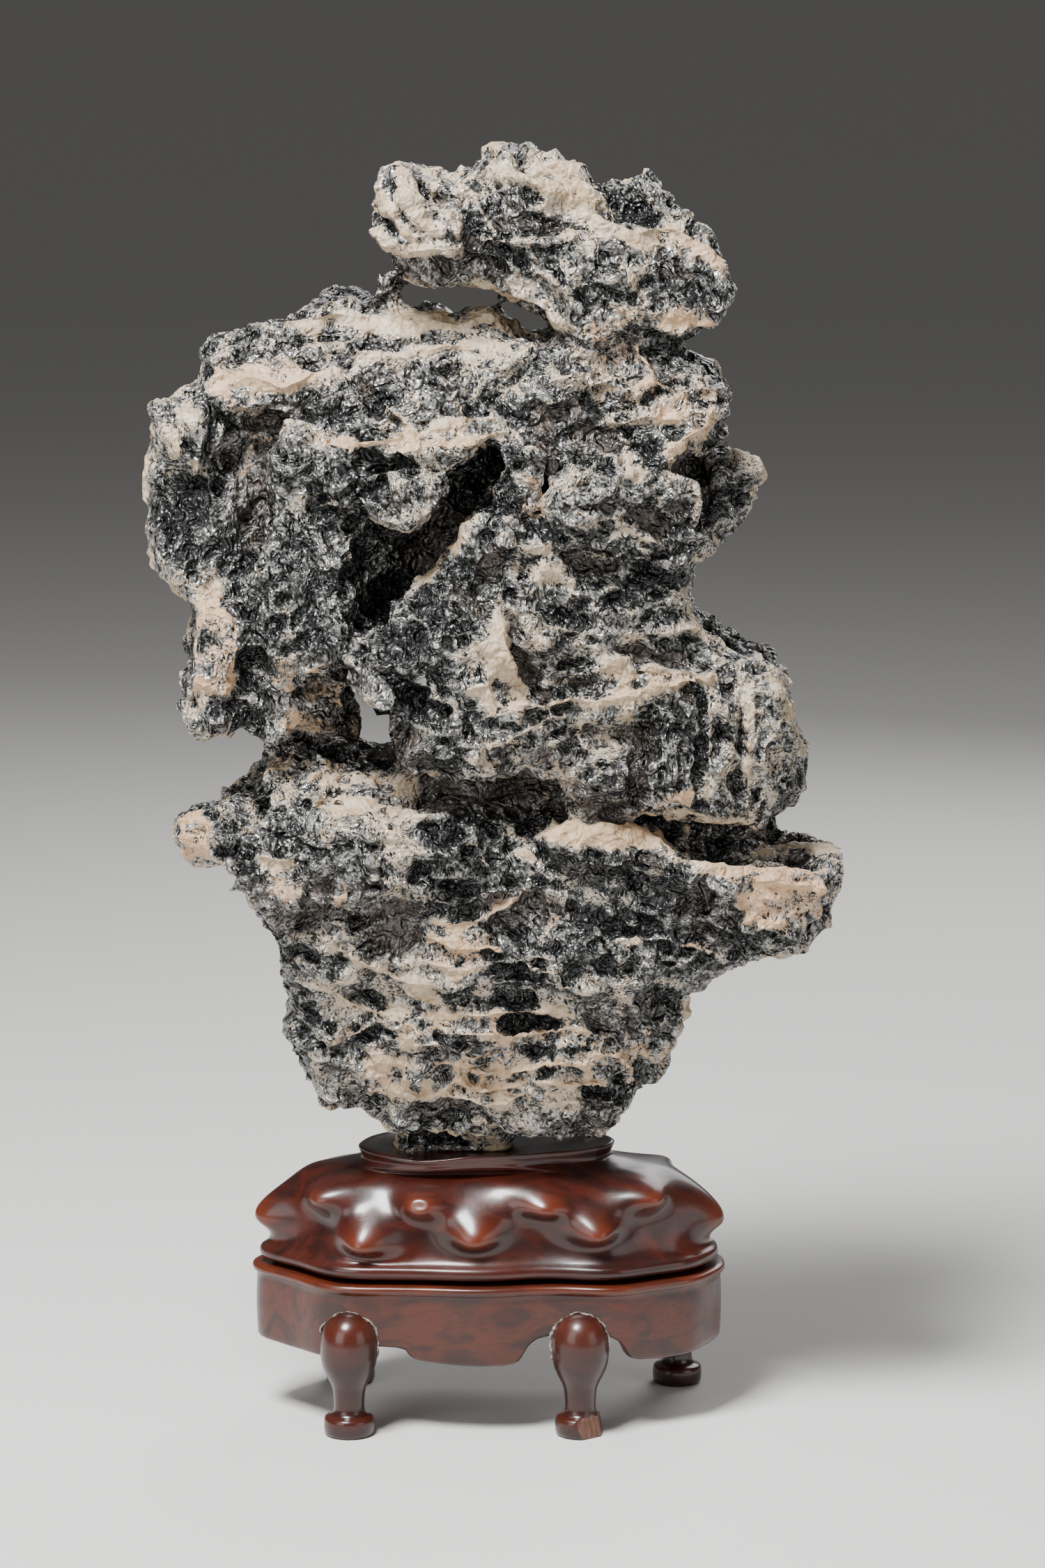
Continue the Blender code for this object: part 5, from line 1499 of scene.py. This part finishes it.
class STONE_OT_glue(bpy.types.Operator):
    """Lays old glue round the tops of the front legs"""

    bl_idname = "scholar_stone.glue"
    bl_label = "Old glue"

    def execute(self, context):
        material = old_glue(context.scene.wood_looks)
        for leg, arcs in GLUE_ARCS.items():
            x = LEGS[leg][0][0]
            for index, (first, last, thick) in enumerate(arcs):
                bead = glue_line(f"{leg}_glue_{index}", x, first, last, thick, 7 * index)
                finish_piece(bead, material, None)
        return {"FINISHED"}


class STONE_OT_legs(bpy.types.Operator):
    """Turns the legs, and breaks the foot pad of one"""

    bl_idname = "scholar_stone.legs"
    bl_label = "Legs"

    def execute(self, context):
        looks = context.scene.wood_looks
        material = rosewood("rosewood_turned", looks, looks.turned, (0, 90, 0), 0.4)
        for name, ((x, y), *_) in LEGS.items():
            obj = turned_leg(name.replace("leg", "turned_leg"), x, y)
            if name == CHIPPED_LEG:
                break_pad(obj, x, y)
            places = co_of(obj.data)
            bulb = smooth_step(places[:, 2], 24, 36) * (1 - smooth_step(places[:, 2], 38, 41))
            # The bulb and the pad's top band get the lighter tone: partly wear, partly painted highlight
            add_attribute(obj.data, "worn", 0.5 * bulb + 0.35 * (places[:, 2] > 4.5) * (places[:, 2] < 7))
            pick(obj)
            bpy.ops.object.shade_smooth()
            finish_piece(obj, material, "rosewood_turned", name)
        return {"FINISHED"}


class STONE_OT_stage(bpy.types.Operator):
    """Sets the pale floor, the soft lights and the camera"""

    bl_idname = "scholar_stone.stage"
    bl_label = "Stage"

    def execute(self, context):
        looks = context.scene.stage_looks
        bpy.ops.object.select_all(action="DESELECT")
        cells = {"x_subdivisions": FLOOR_WIDTH, "y_subdivisions": FLOOR_WIDTH}
        bpy.ops.mesh.primitive_grid_add(size=FLOOR_WIDTH, location=(0, 0, FLOOR_Z), **cells)
        floor = context.object
        floor.name = "floor"
        places = co_of(floor.data)
        places[:, 2] += FLOOR_RISE * smooth_step(np.hypot(places[:, 0], places[:, 1]) * MM, *FLOOR_SLOPE)
        set_co(floor.data, places)
        bpy.ops.object.shade_smooth()
        floor.data.materials.append(plain("pale_floor", looks.floor, 0.85))
        world = bpy.data.worlds.new("studio")
        world.use_nodes = True
        background = world.node_tree.nodes["Background"]
        background.inputs["Color"].default_value = colour(*WORLD_TINT)
        background.inputs["Strength"].default_value = WORLD_STRENGTH
        context.scene.world = world
        for name, place, size in LIGHTS:
            bpy.ops.object.light_add(type="AREA", location=place)
            light = context.object
            light.name = name
            light.data.size = size
            light.data.energy = getattr(looks, name)
            facing = Vector(LIT_MIDDLE) - Vector(place)
            light.rotation_euler = facing.to_track_quat("-Z", "Y").to_euler()
        bpy.ops.object.camera_add(location=EYE * MM, rotation=(math.radians(90 - EYE_PITCH), 0, 0))
        camera = context.object
        camera.data.lens = LENS
        camera.data.sensor_width = SENSOR
        camera.data.sensor_fit = "AUTO"
        context.scene.camera = camera
        return {"FINISHED"}


class STONE_PT_panel(bpy.types.Panel):
    """Lists the pieces and their looks"""

    bl_label = "Scholar Stone"
    bl_idname = "STONE_PT_panel"
    bl_space_type = "VIEW_3D"
    bl_region_type = "UI"
    bl_category = "Scholar Stone"

    def draw(self, context):
        for operator in OPERATORS:
            self.layout.operator(operator.bl_idname)
        for group in (context.scene.stone_looks, context.scene.wood_looks, context.scene.stage_looks):
            box = self.layout.box()
            for name in group.__annotations__:
                box.prop(group, name)


OPERATORS = (STONE_OT_rock, STONE_OT_mound, STONE_OT_apron, STONE_OT_legs, STONE_OT_glue, STONE_OT_stage)
GROUPS = {"stone_looks": StoneLooks, "wood_looks": WoodLooks, "stage_looks": StageLooks}


def register():
    for group in GROUPS.values():
        bpy.utils.register_class(group)
    for name, group in GROUPS.items():
        setattr(bpy.types.Scene, name, bpy.props.PointerProperty(type=group))
    for operator in OPERATORS:
        bpy.utils.register_class(operator)
    bpy.utils.register_class(STONE_PT_panel)


def unregister():
    bpy.utils.unregister_class(STONE_PT_panel)
    for operator in reversed(OPERATORS):
        bpy.utils.unregister_class(operator)
    for name in GROUPS:
        delattr(bpy.types.Scene, name)
    for group in reversed(GROUPS.values()):
        bpy.utils.unregister_class(group)


def main():
    register()
    bpy.ops.scholar_stone.rock()
    bpy.ops.scholar_stone.mound()
    bpy.ops.scholar_stone.apron()
    bpy.ops.scholar_stone.legs()
    bpy.ops.scholar_stone.glue()
    bpy.ops.scholar_stone.stage()


if __name__ == "__main__":
    main()
